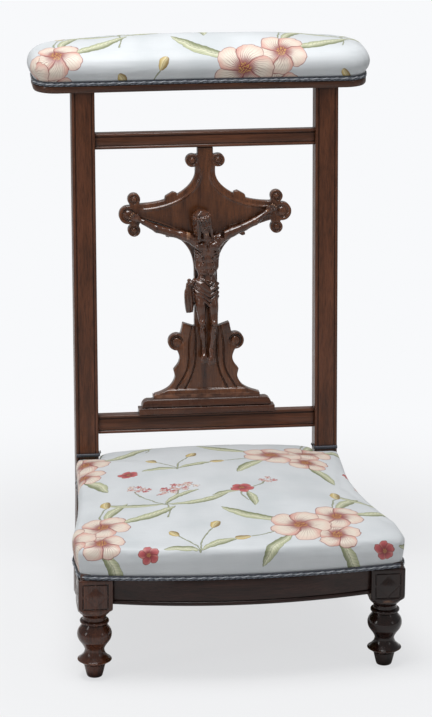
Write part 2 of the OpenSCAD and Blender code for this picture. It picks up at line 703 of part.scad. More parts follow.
// Figure. Places are shares of the figure's height: across, up from the toes, forward, radius.
head_shares = [[-0.016, 0.915, 0.1, 0.05], [-0.012, 0.945, 0.085, 0.052], [-0.018, 0.875, 0.1, 0.03]];
throat_shares = [[-0.014, 0.895, 0.085, 0.028], [-0.002, 0.835, 0.055, 0.034]];
chest_shares = [[-0.085, 0.832, 0.05, 0.03], [0.078, 0.836, 0.05, 0.03], [-0.045, 0.75, 0.055, 0.044],
    [0.045, 0.75, 0.055, 0.044]];
belly_shares = [[-0.03, 0.64, 0.05, 0.036], [0.03, 0.64, 0.05, 0.036], [-0.036, 0.57, 0.048, 0.038],
    [0.036, 0.57, 0.048, 0.038]];
wrap_shares = [[-0.05, 0.555, 0.05, 0.036], [0.052, 0.565, 0.05, 0.036], [-0.04, 0.42, 0.075, 0.034],
    [0.05, 0.41, 0.075, 0.034]];
tail_shares = [[-0.1, 0.55, 0.055, 0.022], [-0.108, 0.47, 0.045, 0.028], [-0.112, 0.36, 0.035, 0.02]];
left_leg_shares = [[-0.035, 0.54, 0.055, 0.042], [-0.008, 0.305, 0.085, 0.028], [0.004, 0.2, 0.05, 0.025],
    [0.015, 0.1, 0.04, 0.017], [0.012, 0.02, 0.055, 0.018]];
right_leg_shares = [[0.035, 0.54, 0.055, 0.042], [0.045, 0.3, 0.08, 0.028], [0.04, 0.2, 0.05, 0.025],
    [0.03, 0.11, 0.055, 0.017], [0.024, 0.03, 0.075, 0.017]];
left_arm_shares = [[-0.09, 0.836, 0.055, 0.026], [-0.16, 0.86, 0.055, 0.023], [-0.26, 0.885, 0.045, 0.019],
    [-0.37, 0.94, 0.028, 0.014], [-0.405, 0.958, 0.022, 0.013], [-0.45, 0.985, 0.018, 0.012]];
right_arm_shares = [[0.082, 0.84, 0.055, 0.026], [0.15, 0.868, 0.055, 0.023], [0.25, 0.905, 0.045, 0.019],
    [0.34, 0.965, 0.028, 0.014], [0.37, 0.985, 0.022, 0.013], [0.405, 1.01, 0.018, 0.012]];
nail_shares = [[-0.43, 0.972, 0.03], [0.388, 0.998, 0.03], [0.022, 0.055, 0.09]];

toe_y = toe_share * splat_h;
ball_facets = 14;

module ball(s) translate([s[0] * figure_h, toe_y + s[1] * figure_h, s[2] * figure_h])
    sphere(s[3] * figure_h, $fn = ball_facets);

module blob(list) hull() for (s = list) ball(s);

module limb(list) for (i = [0 : len(list) - 2]) blob([list[i], list[i + 1]]);

// Keeps only what lies forward of the panel
module in_front() difference() {
    children();
    translate([-cross_half, 0, -cross_half]) cube([2 * cross_half, splat_h, cross_half + fit / 2]);
}

module nail_places() for (s = nail_shares)
    translate([s[0] * figure_h, toe_y + s[1] * figure_h, 0]) children();

module nail_holes() nail_places() cylinder(h = 0.2 * figure_h, r = nail_r + fit / 2);

module peg(room) translate([0, toe_y + 0.75 * figure_h, -panel_t / 2])
    cylinder(h = 0.045 * figure_h + panel_t / 2, r = dowel_r / 2 + room);

// Where an arm is set into the shoulder
module arm_seat(side) translate([side * 0.108 * figure_h, toe_y + 0.7 * figure_h, 0])
    translate([side < 0 ? -figure_h : 0, 0, 0]) cube([figure_h, 0.4 * figure_h, 0.2 * figure_h]);

module corpus_body() placed() color(dark_wood) on_panel() difference() {
    in_front() {
        blob(head_shares);
        blob(throat_shares);
        blob(chest_shares);
        blob([chest_shares[2], chest_shares[3], belly_shares[0], belly_shares[1]]);
        blob(belly_shares);
        blob(wrap_shares);
        limb(tail_shares);
        limb(left_leg_shares);
        limb(right_leg_shares);
    }
    for (s = [-1, 1]) arm_seat(s);
    nail_holes();
    peg(fit / 2);
}

module corpus_arm(list, side) placed() color(dark_wood) on_panel() intersection() {
    difference() {
        in_front() limb(list);
        nail_holes();
    }
    translate([side * fit, 0, 0]) arm_seat(side);
}

module corpus_arm_left() corpus_arm(left_arm_shares, -1);
module corpus_arm_right() corpus_arm(right_arm_shares, 1);

module corpus_nails() placed() color(iron) on_panel() for (s = nail_shares)
    translate([s[0] * figure_h, toe_y + s[1] * figure_h, -panel_t / 2 + fit]) {
        top = s[2] * figure_h + panel_t / 2 - fit;
        cylinder(h = top, r = nail_r);
        translate([0, 0, top]) cylinder(h = nail_r, r1 = nail_head_r, r2 = nail_r);
    }

module corpus_peg() placed() color(pale_wood) on_panel() translate([0, 0, fit]) peg(0);

// Armrest

module armrest_board() placed() color(wood) difference() {
    union() {
        edge_shares = [[-0.18, 0, 0.14], [-0.05, 0.14, 0.14], [0, 0.28, 0.72]];
        for (e = edge_shares) translate([0, 0, board_z + e[1] * board_edge])
            linear_extrude(e[2] * board_edge) polygon(grown(arm_plan, e[0] * board_edge));
        translate([0, 0, board_z + board_edge]) linear_extrude(tack_h) polygon(grown(arm_plan, -tack_in));
    }
    for (s = [-1, 1]) mirrored(s) intersection() {
        raked() post_tenon(fit);
        translate([0, 0, board_z - over]) cube([leg_spacing, 2 * leg_to_post, over + 0.6 * board_t + fit]);
    }
}

module armrest_cover() placed() color(cloth) difference() {
    arm_form(0, fit);
    arm_form(cover_t - fit / 2, 0);
}

module armrest_stuffing() placed() color(hair) arm_form(cover_t + fit / 2, tack_h + fit);

module band(p, z) translate([0, 0, z]) linear_extrude(tack_h - 2 * fit) difference() {
    polygon(grown(p, gimp_t - tack_in / 3 + fit));
    polygon(grown(p, fit - tack_in / 3));
}

module armrest_gimp() placed() color(braid) band(arm_plan, board_z + board_edge + fit);

// Kneeling pad

web_zone = grown(seat_plan, -2 * tack_in);

module web_zone_at(z) translate([0, 0, z]) linear_extrude(web_t) polygon(web_zone);

module seat_webbing_long() placed() color(jute) intersection() {
    web_zone_at(frame_top);
    for (i = [-1.5 : 1 : 1.5]) translate([i * post_spacing / 4.6 - web_w / 2, front_y, frame_top])
        cube([web_w, pad_back_y - front_y, web_t]);
}

module seat_webbing_cross() placed() color(jute) intersection() {
    web_zone_at(frame_top + web_t);
    for (i = [0 : 4]) translate([-leg_out, (0.02 + 0.195 * i) * leg_to_post, frame_top + web_t])
        cube([2 * leg_out, web_w, web_t]);
}

module seat_hessian() placed() color(jute) translate([0, 0, frame_top + 2 * web_t])
    linear_extrude(hessian_t) polygon(grown(seat_plan, -1.6 * tack_in));

module seat_cover() placed() color(cloth) difference() {
    seat_form(0, fit);
    seat_form(cover_t - fit / 2, 0);
}

module seat_stuffing() placed() color(hair) seat_form(cover_t + fit / 2, tack_h + 2 * web_t + hessian_t);

// The gimp runs round the front and sides, from post to post, and again along the back
module seat_gimp() placed() color(braid) difference() {
    band(seat_plan, rail_top + fit);
    for (s = [-1, 1]) mirrored(s) translate([post_in - post_w / 3, leg_to_post - 2 * gimp_t, 0])
        cube([post_w + post_w, post_w + post_d, 2 * rail_top]);
}

// Height along the post at which the pad meets it, and the short gimp that hides the cut there
post_gimp_z = tack_h + fit + pad_h * height_share(post_in, leg_to_post, bow_y(0), pad_back_y, pad_back_share);
post_gimp_h = 0.6 * tack_h;

module post_gimp() placed() raked() color(braid) for (s = [-1, 1]) mirrored(s)
    translate([post_in - gimp_t, -gimp_t, post_gimp_z]) {
        cube([post_w + gimp_t, gimp_t - fit / 2, post_gimp_h]);
        cube([gimp_t - fit / 2, 0.7 * post_d, post_gimp_h]);
    }

module pin() cylinder(h = pin_r / 2, r1 = pin_r, r2 = pin_r / 2);

// Two pins at each end of the seat gimp, and two in the short gimp inside each post
module gimp_pins() placed() color(iron) for (s = [-1, 1]) mirrored(s) {
    for (i = [1 : 2]) let (y = leg_to_post - i * 0.6 * post_w)
        translate([side_x(y, s) - tack_in / 3 + fit + gimp_t, y, rail_top + tack_h / 2])
            rotate([0, 90, 0]) pin();
    raked() for (i = [1 : 2])
        translate([post_in - gimp_t, 0.24 * i * post_d, post_gimp_z + post_gimp_h / 2])
            rotate([0, -90, 0]) pin();
}

front_leg_left();
front_leg_right();
rear_post_left();
rear_post_right();
front_rail();
side_rail_left();
side_rail_right();
rear_rail();
corner_blocks();
corner_block_screws();
lower_back_rail();
upper_back_rail();
splat_panel();
splat_plinth();
splat_dowels();
corpus_body();
corpus_arm_left();
corpus_arm_right();
corpus_nails();
corpus_peg();
armrest_board();
armrest_stuffing();
armrest_cover();
armrest_gimp();
seat_webbing_long();
seat_webbing_cross();
seat_hessian();
seat_stuffing();
seat_cover();
seat_gimp();
post_gimp();
gimp_pins();
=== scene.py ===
import math
from contextlib import contextmanager
from functools import partial

import bmesh
import bpy
import numpy as np
import openvdb
from mathutils import Euler, Matrix, Vector, noise


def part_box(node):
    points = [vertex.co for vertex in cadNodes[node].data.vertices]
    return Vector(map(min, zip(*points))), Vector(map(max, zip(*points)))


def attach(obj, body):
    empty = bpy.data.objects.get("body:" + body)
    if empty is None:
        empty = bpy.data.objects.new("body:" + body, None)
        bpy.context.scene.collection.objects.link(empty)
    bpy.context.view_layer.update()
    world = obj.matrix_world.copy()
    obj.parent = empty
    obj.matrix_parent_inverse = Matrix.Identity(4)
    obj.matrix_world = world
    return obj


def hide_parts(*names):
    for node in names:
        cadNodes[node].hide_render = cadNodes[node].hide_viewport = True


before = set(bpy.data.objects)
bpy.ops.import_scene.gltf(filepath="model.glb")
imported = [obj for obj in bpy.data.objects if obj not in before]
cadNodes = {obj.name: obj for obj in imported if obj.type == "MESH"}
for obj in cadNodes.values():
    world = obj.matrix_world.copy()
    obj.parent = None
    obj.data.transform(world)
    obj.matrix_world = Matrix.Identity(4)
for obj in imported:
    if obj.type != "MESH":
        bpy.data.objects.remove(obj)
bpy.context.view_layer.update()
mm = 0.001  # shapes are worked out in millimetres and become metres when a mesh is made
coarser = 1  # a factor on the carved grids' steps; above 1 makes them coarser
print("frame loaded:", len(cadNodes), "nodes")


def toLinear(code):
    values = [int(code[i:i + 2], 16) / 255 for i in (1, 3, 5)]
    return [v / 12.92 if v <= 0.04045 else ((v + 0.055) / 1.055) ** 2.4 for v in values] + [1.0]


def boxOf(node):
    low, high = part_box(node)
    return low / mm, high / mm


def smoothStep(low, high, x):
    t = np.clip((x - low) / (high - low), 0, 1)
    return t * t * (3 - 2 * t)


# The quads between closed rings of n points each, when the first ring starts at point number first
def ringFaces(rings, n, first=0):
    around = [(i, (i + 1) % n) for i in range(n)]
    return [(first + k * n + i, first + k * n + j, first + (k + 1) * n + j, first + (k + 1) * n + i)
            for k in range(rings - 1) for i, j in around]


def placePiece(name, mesh, material=None, smooth=True):
    piece = bpy.data.objects.new(name, mesh)
    bpy.context.scene.collection.objects.link(piece)
    if material:
        mesh.materials.clear()
        mesh.materials.append(material)
    mesh.polygons.foreach_set("use_smooth", [smooth] * len(mesh.polygons))
    return piece


def newPiece(name, points, faces, material=None, smooth=True):
    mesh = bpy.data.meshes.new(name)
    mesh.from_pydata((np.asarray(points, float) * mm).tolist(), [], [list(f) for f in faces])
    mesh.update()
    return placePiece(name, mesh, material, smooth)


def ride(piece, slot, *replaced):
    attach(piece, "root")
    if replaced:
        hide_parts(*replaced)


def evaluatedMesh(piece):
    bpy.context.view_layer.update()
    graph = bpy.context.evaluated_depsgraph_get()
    return bpy.data.meshes.new_from_object(piece.evaluated_get(graph), depsgraph=graph)


# What the modifiers make becomes the piece's own mesh
def settle(piece):
    mesh = evaluatedMesh(piece)
    piece.modifiers.clear()
    piece.data = mesh


# Opens a mesh for work on its faces and edges, and writes it back
@contextmanager
def meshWork(mesh):
    work = bmesh.new()
    work.from_mesh(mesh)
    yield work
    work.to_mesh(mesh)
    work.free()


def pointsOf(piece):
    values = np.zeros(len(piece.data.vertices) * 3, np.float32)
    piece.data.vertices.foreach_get("co", values)
    return values.reshape(-1, 3).astype(float) / mm


def movePoints(piece, points):
    piece.data.vertices.foreach_set("co", (np.asarray(points) * mm).astype(np.float32).ravel())
    piece.data.update()


# Camera, at the photograph's place

camera = {"place": (-0.5760, -4.6621, 1.8407), "yaw": 7.05, "pitch": -17.29, "roll": 0.30, "lens": 170.9,
          "sensor": 36}


def makeCamera(values):
    yaw, pitch, roll = (math.radians(values[k]) for k in ("yaw", "pitch", "roll"))
    ahead = Vector((math.sin(yaw) * math.cos(pitch), math.cos(yaw) * math.cos(pitch), math.sin(pitch)))
    level = Vector((math.cos(yaw), -math.sin(yaw), 0))
    upward = level.cross(ahead)
    right = level * math.cos(roll) + upward * math.sin(roll)
    up = upward * math.cos(roll) - level * math.sin(roll)
    data = bpy.data.cameras.new("camera")
    data.lens = values["lens"]
    data.sensor_width = values["sensor"]
    data.clip_end = 100
    eye = bpy.data.objects.new("camera", data)
    eye.matrix_world = Matrix((
        (right.x, up.x, -ahead.x, values["place"][0]),
        (right.y, up.y, -ahead.y, values["place"][1]),
        (right.z, up.z, -ahead.z, values["place"][2]),
        (0, 0, 0, 1)))
    bpy.context.scene.collection.objects.link(eye)
    bpy.context.scene.camera = eye


makeCamera(camera)

# Materials. Colours are sRGB hex, and a pattern's size is in millimetres on the real thing.


# Adds a node with its settings, and links or sets its inputs. Math.ADD stands for a shader's math node
# that adds, and Mix.RGBA for one that mixes colours. A list of inputs goes to the first ones, in order:
# a map range's are its value, the range that it comes from, and the one that it goes to.
# A node stands for its first output in use. Every add below is this function, bound to a tree.
def addNode(tree, kind, inputs=None, **settings):
    kind, _, way = kind.partition(".")
    node = tree.nodes.new(kind if "Node" in kind else "ShaderNode" + kind)
    if way:
        setattr(node, "data_type" if kind == "Mix" else "operation", way)
    for key, value in settings.items():
        setattr(node, key, value)
    for key, value in enumerate(inputs) if isinstance(inputs, list) else (inputs or {}).items():
        if isinstance(value, bpy.types.Node):
            value = next(s for s in value.outputs if s.enabled)
        if isinstance(value, bpy.types.NodeSocket):
            tree.links.new(value, node.inputs[key])
        else:
            node.inputs[key].default_value = value
    return node


def newMaterial(name):
    material = bpy.data.materials.new(name)
    material.use_nodes = True
    material.node_tree.nodes.clear()
    return material, partial(addNode, material.node_tree)


# Starts a node group from the names of its inputs and outputs, listed by kind
def newGroup(name, kind, inputs, outputs):
    tree = bpy.data.node_groups.new(name, kind)
    for way, sockets in (("INPUT", inputs), ("OUTPUT", outputs)):
        for sort, labels in sockets.items():
            for label in labels:
                tree.interface.new_socket(label, in_out=way, socket_type="NodeSocket" + sort)
    return tree, partial(addNode, tree), tree.nodes.new("NodeGroupInput").outputs


def setRamp(node, stops):
    ramp = node.color_ramp
    while len(ramp.elements) < len(stops):
        ramp.elements.new(0.5)
    for element, (place, colour) in zip(ramp.elements, stops):
        element.position = place
        element.color = toLinear(colour) if isinstance(colour, str) else (colour, colour, colour, 1)
    return node


# Mahogany, French polished: deep red-brown with fine open pores along the grain, darker in the corners and
# hollows with wax and painted shade, rubbed paler on its edges, and a thin clear film that gives soft bright lines.
def polishedWood(name, grain, deep="#412314", middle="#59331f", light="#6c402b", worn="#80543b",
                 figure=14, pore=1.5, cavity=7.0, rough=0.34, film=0.35, seed=0.0):
    material, add = newMaterial(name)
    place = add("TexCoord").outputs["Object"]
    along = "xyz".index(grain)
    stretched = [1.0, 1.0, 1.0]
    stretched[along] = 0.07
    bands = add("Mapping", {"Vector": place, "Location": (seed, seed * 0.7, seed * 0.3), "Scale": stretched})
    stretched[along] = 0.035
    fine = add("Mapping", {"Vector": place, "Scale": stretched})
    figured = add("TexNoise", {"Vector": bands, "Scale": 1000 / figure, "Detail": 5.0, "Roughness": 0.62,
                               "Distortion": 0.25})
    # Real pores are about 0.2 mm wide: they are drawn coarser, so that they show
    pores = add("TexNoise", {"Vector": fine, "Scale": 1000 / pore, "Detail": 3.0, "Roughness": 0.7})
    clouds = add("TexNoise", {"Vector": place, "Scale": 14.0, "Detail": 2.0})
    tone = setRamp(add("ValToRGB", {"Fac": figured}), [(0.26, deep), (0.5, middle), (0.76, light)])
    poreDark = add("MapRange", [pores, 0.36, 0.56, 0.62, 1.08])
    cloudy = add("MapRange", [clouds, 0.3, 0.7, 0.86, 1.14])
    shade = add("Math.MULTIPLY", [poreDark, cloudy])
    body = add("VectorMath.SCALE", {0: tone, "Scale": shade})
    # Painted shade: the colour darkens towards near black in corners and hollows, partly as wax and partly as shade
    corner = add("AmbientOcclusion", {"Distance": cavity * mm}, samples=6)
    waxAndShade = add("MapRange", [corner.outputs["AO"], 0.35, 0.95, 0.9, 0.0])
    waxed_and_shaded = add("Mix.RGBA", {"Factor": waxAndShade, 6: body, 7: toLinear("#1c0f0b")})
    edge = add("AmbientOcclusion", {"Distance": 2.2 * mm}, samples=6, inside=True)
    scuffs = add("TexNoise", {"Vector": place, "Scale": 60.0, "Detail": 4.0})
    rubbed = add("MapRange", [edge.outputs["AO"], 0.75, 0.35, 0.0, 0.8])
    patchy = add("MapRange", [scuffs, 0.42, 0.62])
    wear = add("Math.MULTIPLY", [rubbed, patchy])
    colour = add("Mix.RGBA", {"Factor": wear, 6: waxed_and_shaded, 7: toLinear(worn)})
    smudge = add("MapRange", [scuffs, 0.3, 0.7, rough - 0.06, rough + 0.08])
    relief = add("Bump", {"Height": pores, "Strength": 0.25, "Distance": 0.25 * mm})
    shader = add("BsdfPrincipled", {"Base Color": colour, "Roughness": smudge, "Normal": relief, "IOR": 1.5,
                                    "Specular IOR Level": 0.25, "Coat Weight": film, "Coat Roughness": 0.1,
                                    "Coat IOR": 1.48})
    add("OutputMaterial", {"Surface": shader})
    return material


# Plain beech or pine inside the frame: pale, unpolished, with soft straight grain
def bareWood(name, grain):
    material, add = newMaterial(name)
    stretched = [1.0, 1.0, 1.0]
    stretched["xyz".index(grain)] = 0.06
    place = add("TexCoord").outputs["Object"]
    lines = add("Mapping", {"Vector": place, "Scale": stretched})
    rings = add("TexNoise", {"Vector": lines, "Scale": 220.0, "Detail": 4.0, "Roughness": 0.6})
    tone = setRamp(add("ValToRGB", {"Fac": rings}), [(0.3, "#8d6a46"), (0.55, "#b08a60"), (0.75, "#c9a67c")])
    relief = add("Bump", {"Height": rings, "Strength": 0.3, "Distance": 0.3 * mm})
    shader = add("BsdfPrincipled", {"Base Color": tone, "Roughness": 0.75, "Normal": relief})
    add("OutputMaterial", {"Surface": shader})
    return material


# Wrought iron, blued and a little rusted: near black with a dull gleam
def bluedIron(name):
    material, add = newMaterial(name)
    place = add("TexCoord").outputs["Object"]
    spots = add("TexNoise", {"Vector": place, "Scale": 900.0, "Detail": 3.0})
    tone = setRamp(add("ValToRGB", {"Fac": spots}), [(0.35, "#2a2623"), (0.6, "#3b332d"), (0.75, "#5a3e2c")])
    dull = add("MapRange", {"Value": spots, "To Min": 0.35, "To Max": 0.65})
    relief = add("Bump", {"Height": spots, "Strength": 0.4, "Distance": 0.15 * mm})
    shader = add("BsdfPrincipled", {"Base Color": tone, "Metallic": 0.85, "Roughness": dull, "Normal": relief})
    add("OutputMaterial", {"Surface": shader})
    return material


# Plain-woven jute or hessian: coarse crossed threads with open, hairy gaps, matt and straw brown
def wovenJute(name, thread):
    material, add = newMaterial(name)
    place = add("TexCoord").outputs["Object"]
    warp, weft = (add("TexWave", {"Vector": place, "Scale": 500 / thread / math.pi, "Distortion": 1.5, "Detail": 2.0},
                      bands_direction=way) for way in "XY")
    crossed = add("Math.MULTIPLY", [warp, weft])
    fuzz = add("TexNoise", {"Vector": place, "Scale": 400.0, "Detail": 4.0})
    mixed = add("Math.ADD", [crossed, fuzz])
    tone = setRamp(add("ValToRGB", {"Fac": mixed}), [(0.35, "#6e5636"), (0.7, "#a58a5c"), (1.0, "#c6ad80")])
    relief = add("Bump", {"Height": crossed, "Strength": 0.7, "Distance": 0.6 * mm})
    shader = add("BsdfPrincipled", {"Base Color": tone, "Roughness": 0.92, "Normal": relief})
    add("OutputMaterial", {"Surface": shader})
    return material


# Curled horsehair: dark springy strands
def curledHair(name):
    material, add = newMaterial(name)
    place = add("TexCoord").outputs["Object"]
    curls = add("TexNoise", {"Vector": place, "Scale": 260.0, "Detail": 6.0, "Distortion": 2.5})
    tone = setRamp(add("ValToRGB", {"Fac": curls}), [(0.35, "#2c211a"), (0.5, "#6b5847"), (0.65, "#3a2d23")])
    relief = add("Bump", {"Height": curls, "Strength": 0.9, "Distance": 1.5 * mm})
    shader = add("BsdfPrincipled", {"Base Color": tone, "Roughness": 0.8, "Normal": relief})
    add("OutputMaterial", {"Surface": shader})
    return material


# Rayon gimp cord: bundles of glossy filament, each with fine slanted fibres, darkened between the plies as painted
# shade
def filamentCord(name, light, dark):
    material, add = newMaterial(name)
    place = add("TexCoord").outputs["Object"]
    fibre = add("TexNoise", {"Vector": place, "Scale": 900.0, "Detail": 2.0})
    tone = setRamp(add("ValToRGB", {"Fac": fibre}), [(0.35, dark), (0.65, light)])
    # Painted shade: the colour darkens to less than half where the cord lies close to the plies and tape beside it
    corner = add("AmbientOcclusion", {"Distance": 2.5 * mm}, samples=6)
    depth = add("MapRange", [corner.outputs["AO"], 0.2, 0.9, 0.45, 1.0])
    body = add("VectorMath.SCALE", {0: tone, "Scale": depth})
    relief = add("Bump", {"Height": fibre, "Strength": 0.3, "Distance": 0.2 * mm})
    shader = add("BsdfPrincipled", {"Base Color": body, "Roughness": 0.42, "Normal": relief, "Sheen Weight": 0.25,
                                    "Sheen Roughness": 0.4})
    add("OutputMaterial", {"Surface": shader})
    return material


# Starts a printed motif: returns its tree and inputs, and the cloth's place as seen from the motif and
# turned to it, in metres and in shares of the motif's size. The motif comes back with every repeat.
def motifTree(name, numbers, colours):
    tree, add, given = newGroup(name, "ShaderNodeTree", {
        "Vector": ("Vector", "Place", "Repeat"), "Float": ("Turn",) + numbers, "Color": colours},
        {"Color": ("Color",), "Float": ("Mask",)})
    away = add("VectorMath.SUBTRACT", [given["Vector"], given["Place"]])
    half = add("VectorMath.SCALE", {0: given["Repeat"], "Scale": 0.5})
    least = add("VectorMath.SCALE", {0: given["Repeat"], "Scale": -0.5})
    near = add("VectorMath.WRAP", [away, half, least])
    turned = add("VectorRotate", {"Vector": near, "Angle": given["Turn"]}, rotation_type="Z_AXIS")
    size = add("Math.DIVIDE", [1.0, given[numbers[0]]])
    return tree, add, given, turned, add("VectorMath.SCALE", {0: turned, "Scale": size})


# Ends a motif. Soft steps keep within their limits, and cost the renderer less than clamped ones.
def closeMotif(tree, colour, mask):
    for node in tree.nodes:
        if node.type == "MAP_RANGE":
            node.interpolation_type, node.clamp = "SMOOTHSTEP", False
    addNode(tree, "NodeGroupOutput", {"Color": colour, "Mask": mask})
    return tree


# One drawn blossom: petals that overlap like a pinwheel, each notched at its tip, with a fine
# dark outline, veins that fan out from the heart, and ochre stamens
def blossomGroup():
    tree, add, given, _, local = motifTree("blossom", ("Size", "Petals", "Line"), ("Heart", "Petal", "Blush", "Ink"))
    line = add("Math.DIVIDE", [given["Line"], given["Size"]])
    parts = add("SeparateXYZ", [local])
    radius = add("VectorMath.LENGTH", [local])
    angle = add("Math.ARCTAN2", [parts.outputs["Y"], parts.outputs["X"]])
    swirled = add("Math.MULTIPLY_ADD", [radius, 0.5, angle])
    share = add("Math.MULTIPLY", [swirled, given["Petals"]])
    whole = add("Math.DIVIDE", [share, 2 * math.pi])
    part = add("Math.WRAP", [whole, 0.5, -0.5])
    side = add("Math.ABSOLUTE", [part])  # 0 on a petal's middle, 0.5 between two
    bow = add("Math.MULTIPLY", [side, 2.25])
    arch = add("Math.COSINE", [bow])
    lobe = add("Math.POWER", [arch, 0.33])
    notch = add("MapRange", {"Value": side, "From Max": 0.13, "To Min": 0.97, "To Max": 1.0})
    edge = add("Math.MULTIPLY", [lobe, notch])
    reach = add("Math.DIVIDE", [radius, edge])
    tone = add("MapRange", [radius, 0.1, 0.52])
    inner = add("Mix.RGBA", {"Factor": tone, 6: given["Heart"], 7: given["Petal"]})
    hem = add("MapRange", {"Value": reach, "From Min": 0.7, "From Max": 1.0, "To Max": 0.35})
    hemmed = add("Mix.RGBA", {"Factor": hem, 6: inner, 7: given["Blush"]})
    under = add("MapRange", {"Value": part, "From Min": 0.12, "From Max": 0.5, "To Max": 0.75})
    tucked = add("Mix.RGBA", {"Factor": under, 6: hemmed, 7: given["Blush"]})
    # Distances to the nearest vein, to the next petal and to the rim, in shares of the blossom's size
    fan = add("Math.MULTIPLY", [part, 9.0])
    rib = add("Math.WRAP", [fan, 0.5, -0.5])
    ribSide = add("Math.ABSOLUTE", [rib])
    ribSpread = add("Math.MULTIPLY", [ribSide, radius])
    ribAway = add("Math.MULTIPLY", [ribSpread, 0.14])
    ribShare = add("Math.DIVIDE", [ribAway, line])
    ribInk = add("MapRange", [ribShare, 0.75, 0.2])
    ribFade = add("MapRange", [reach, 0.3, 0.95, 0.75, 0.12])
    vein = add("Math.MULTIPLY", [ribInk, ribFade])
    veined = add("Mix.RGBA", {"Factor": vein, 6: tucked, 7: given["Ink"]})
    gapSide = add("Math.SUBTRACT", [0.5, side])
    gapAway = add("Math.MULTIPLY", [gapSide, radius])
    gapShare = add("Math.DIVIDE", [gapAway, line])
    gap = add("MapRange", {"Value": gapShare, "From Min": 0.9, "From Max": 0.35, "To Max": 0.85})
    rimAway = add("Math.SUBTRACT", [1.0, reach])
    rimShare = add("Math.DIVIDE", [rimAway, line])
    rim = add("MapRange", {"Value": rimShare, "From Min": 1.3, "From Max": 0.6, "To Max": 0.85})
    inked = add("Math.MAXIMUM", [gap, rim])
    drawn = add("Mix.RGBA", {"Factor": inked, 6: veined, 7: given["Ink"]})
    grains = add("TexVoronoi", {"Vector": local, "Scale": 15.0}, voronoi_dimensions="2D")
    anther = add("MapRange", [grains.outputs["Distance"], 0.42, 0.28])
    eye = add("MapRange", [radius, 0.25, 0.19])
    eyeDots = add("Math.MULTIPLY", [anther, eye])
    eyed = add("Mix.RGBA", {"Factor": eyeDots, 6: drawn, 7: toLinear("#b98f4e")})
    mask = add("MapRange", [reach, 1.02, 0.99])
    return closeMotif(tree, eyed, mask)


# One drawn leaf or bud: a tapered blade along +X, bent sideways, pale along its middle,
# with a midrib, slanting veins and a thin outline
def bladeGroup():
    tree, add, given, _, local = motifTree("blade", ("Length", "Width", "Bend", "Fullness", "Line"),
                                    ("Pale", "Light", "Shade", "Ink"))
    line = add("Math.DIVIDE", [given["Line"], given["Length"]])
    parts = add("SeparateXYZ", [local])
    run = add("Clamp", {"Value": parts.outputs["X"]})
    rest = add("Math.SUBTRACT", [1.0, run])
    hump = add("Math.MULTIPLY", [run, rest])
    rise = add("Math.MULTIPLY", [hump, given["Bend"]])
    across = add("Math.SUBTRACT", [parts.outputs["Y"], rise])
    spread = add("Math.MULTIPLY", [hump, 4.0])
    full = add("Math.POWER", [spread, given["Fullness"]])
    width = add("Math.MULTIPLY", [full, given["Width"]])
    safe = add("Math.MAXIMUM", [width, 0.0001])
    wide = add("Math.DIVIDE", [across, safe])  # -1 to 1 over the blade
    reach = add("Math.ABSOLUTE", [wide])
    halfShade = add("MapRange", {"Value": wide, "From Min": 0.3, "From Max": -0.8, "To Max": 0.8})
    paled = add("MapRange", [reach, 0.1, 0.8])
    body = add("Mix.RGBA", {"Factor": paled, 6: given["Pale"], 7: given["Light"]})
    shaded = add("Mix.RGBA", {"Factor": halfShade, 6: body, 7: given["Shade"]})
    slant = add("Math.MULTIPLY_ADD", [reach, -0.1, run])
    wave = add("Math.MULTIPLY", [slant, 95.0])
    lines = add("Math.SINE", [wave])
    vein = add("MapRange", {"Value": lines, "From Min": 0.6, "From Max": 1.0, "To Max": 0.3})
    veined = add("Mix.RGBA", {"Factor": vein, 6: shaded, 7: given["Ink"]})
    middle = add("Math.MULTIPLY", [reach, safe])
    middleShare = add("Math.DIVIDE", [middle, line])
    rib = add("MapRange", {"Value": middleShare, "From Min": 0.7, "From Max": 0.25, "To Max": 0.6})
    rimAway = add("Math.SUBTRACT", [safe, middle])
    rimShare = add("Math.DIVIDE", [rimAway, line])
    rim = add("MapRange", {"Value": rimShare, "From Min": 1.1, "From Max": 0.4, "To Max": 0.85})
    inked = add("Math.MAXIMUM", [rib, rim])
    drawn = add("Mix.RGBA", {"Factor": inked, 6: veined, 7: given["Ink"]})
    mask = add("MapRange", [rimShare, 0.05, 0.45])
    return closeMotif(tree, drawn, mask)


# One drawn stem: a thin bent line along +X
def stemGroup():
    tree, add, given, _, local = motifTree("stem", ("Length", "Width", "Bend"), ("Light", "Ink"))
    parts = add("SeparateXYZ", [local])
    rest = add("Math.SUBTRACT", [1.0, parts.outputs["X"]])
    hump = add("Math.MULTIPLY", [parts.outputs["X"], rest])
    rise = add("Math.MULTIPLY", [hump, given["Bend"]])
    across = add("Math.SUBTRACT", [parts.outputs["Y"], rise])
    away = add("Math.ABSOLUTE", [across])
    reach = add("Math.DIVIDE", [away, given["Width"]])
    inked = add("MapRange", [reach, 0.2, 0.6])
    drawn = add("Mix.RGBA", {"Factor": inked, 6: given["Light"], 7: given["Ink"]})
    line = add("MapRange", [reach, 1.1, 0.8])
    within = add("Math.GREATER_THAN", [hump, 0.0])
    mask = add("Math.MULTIPLY", [line, within])
    return closeMotif(tree, drawn, mask)


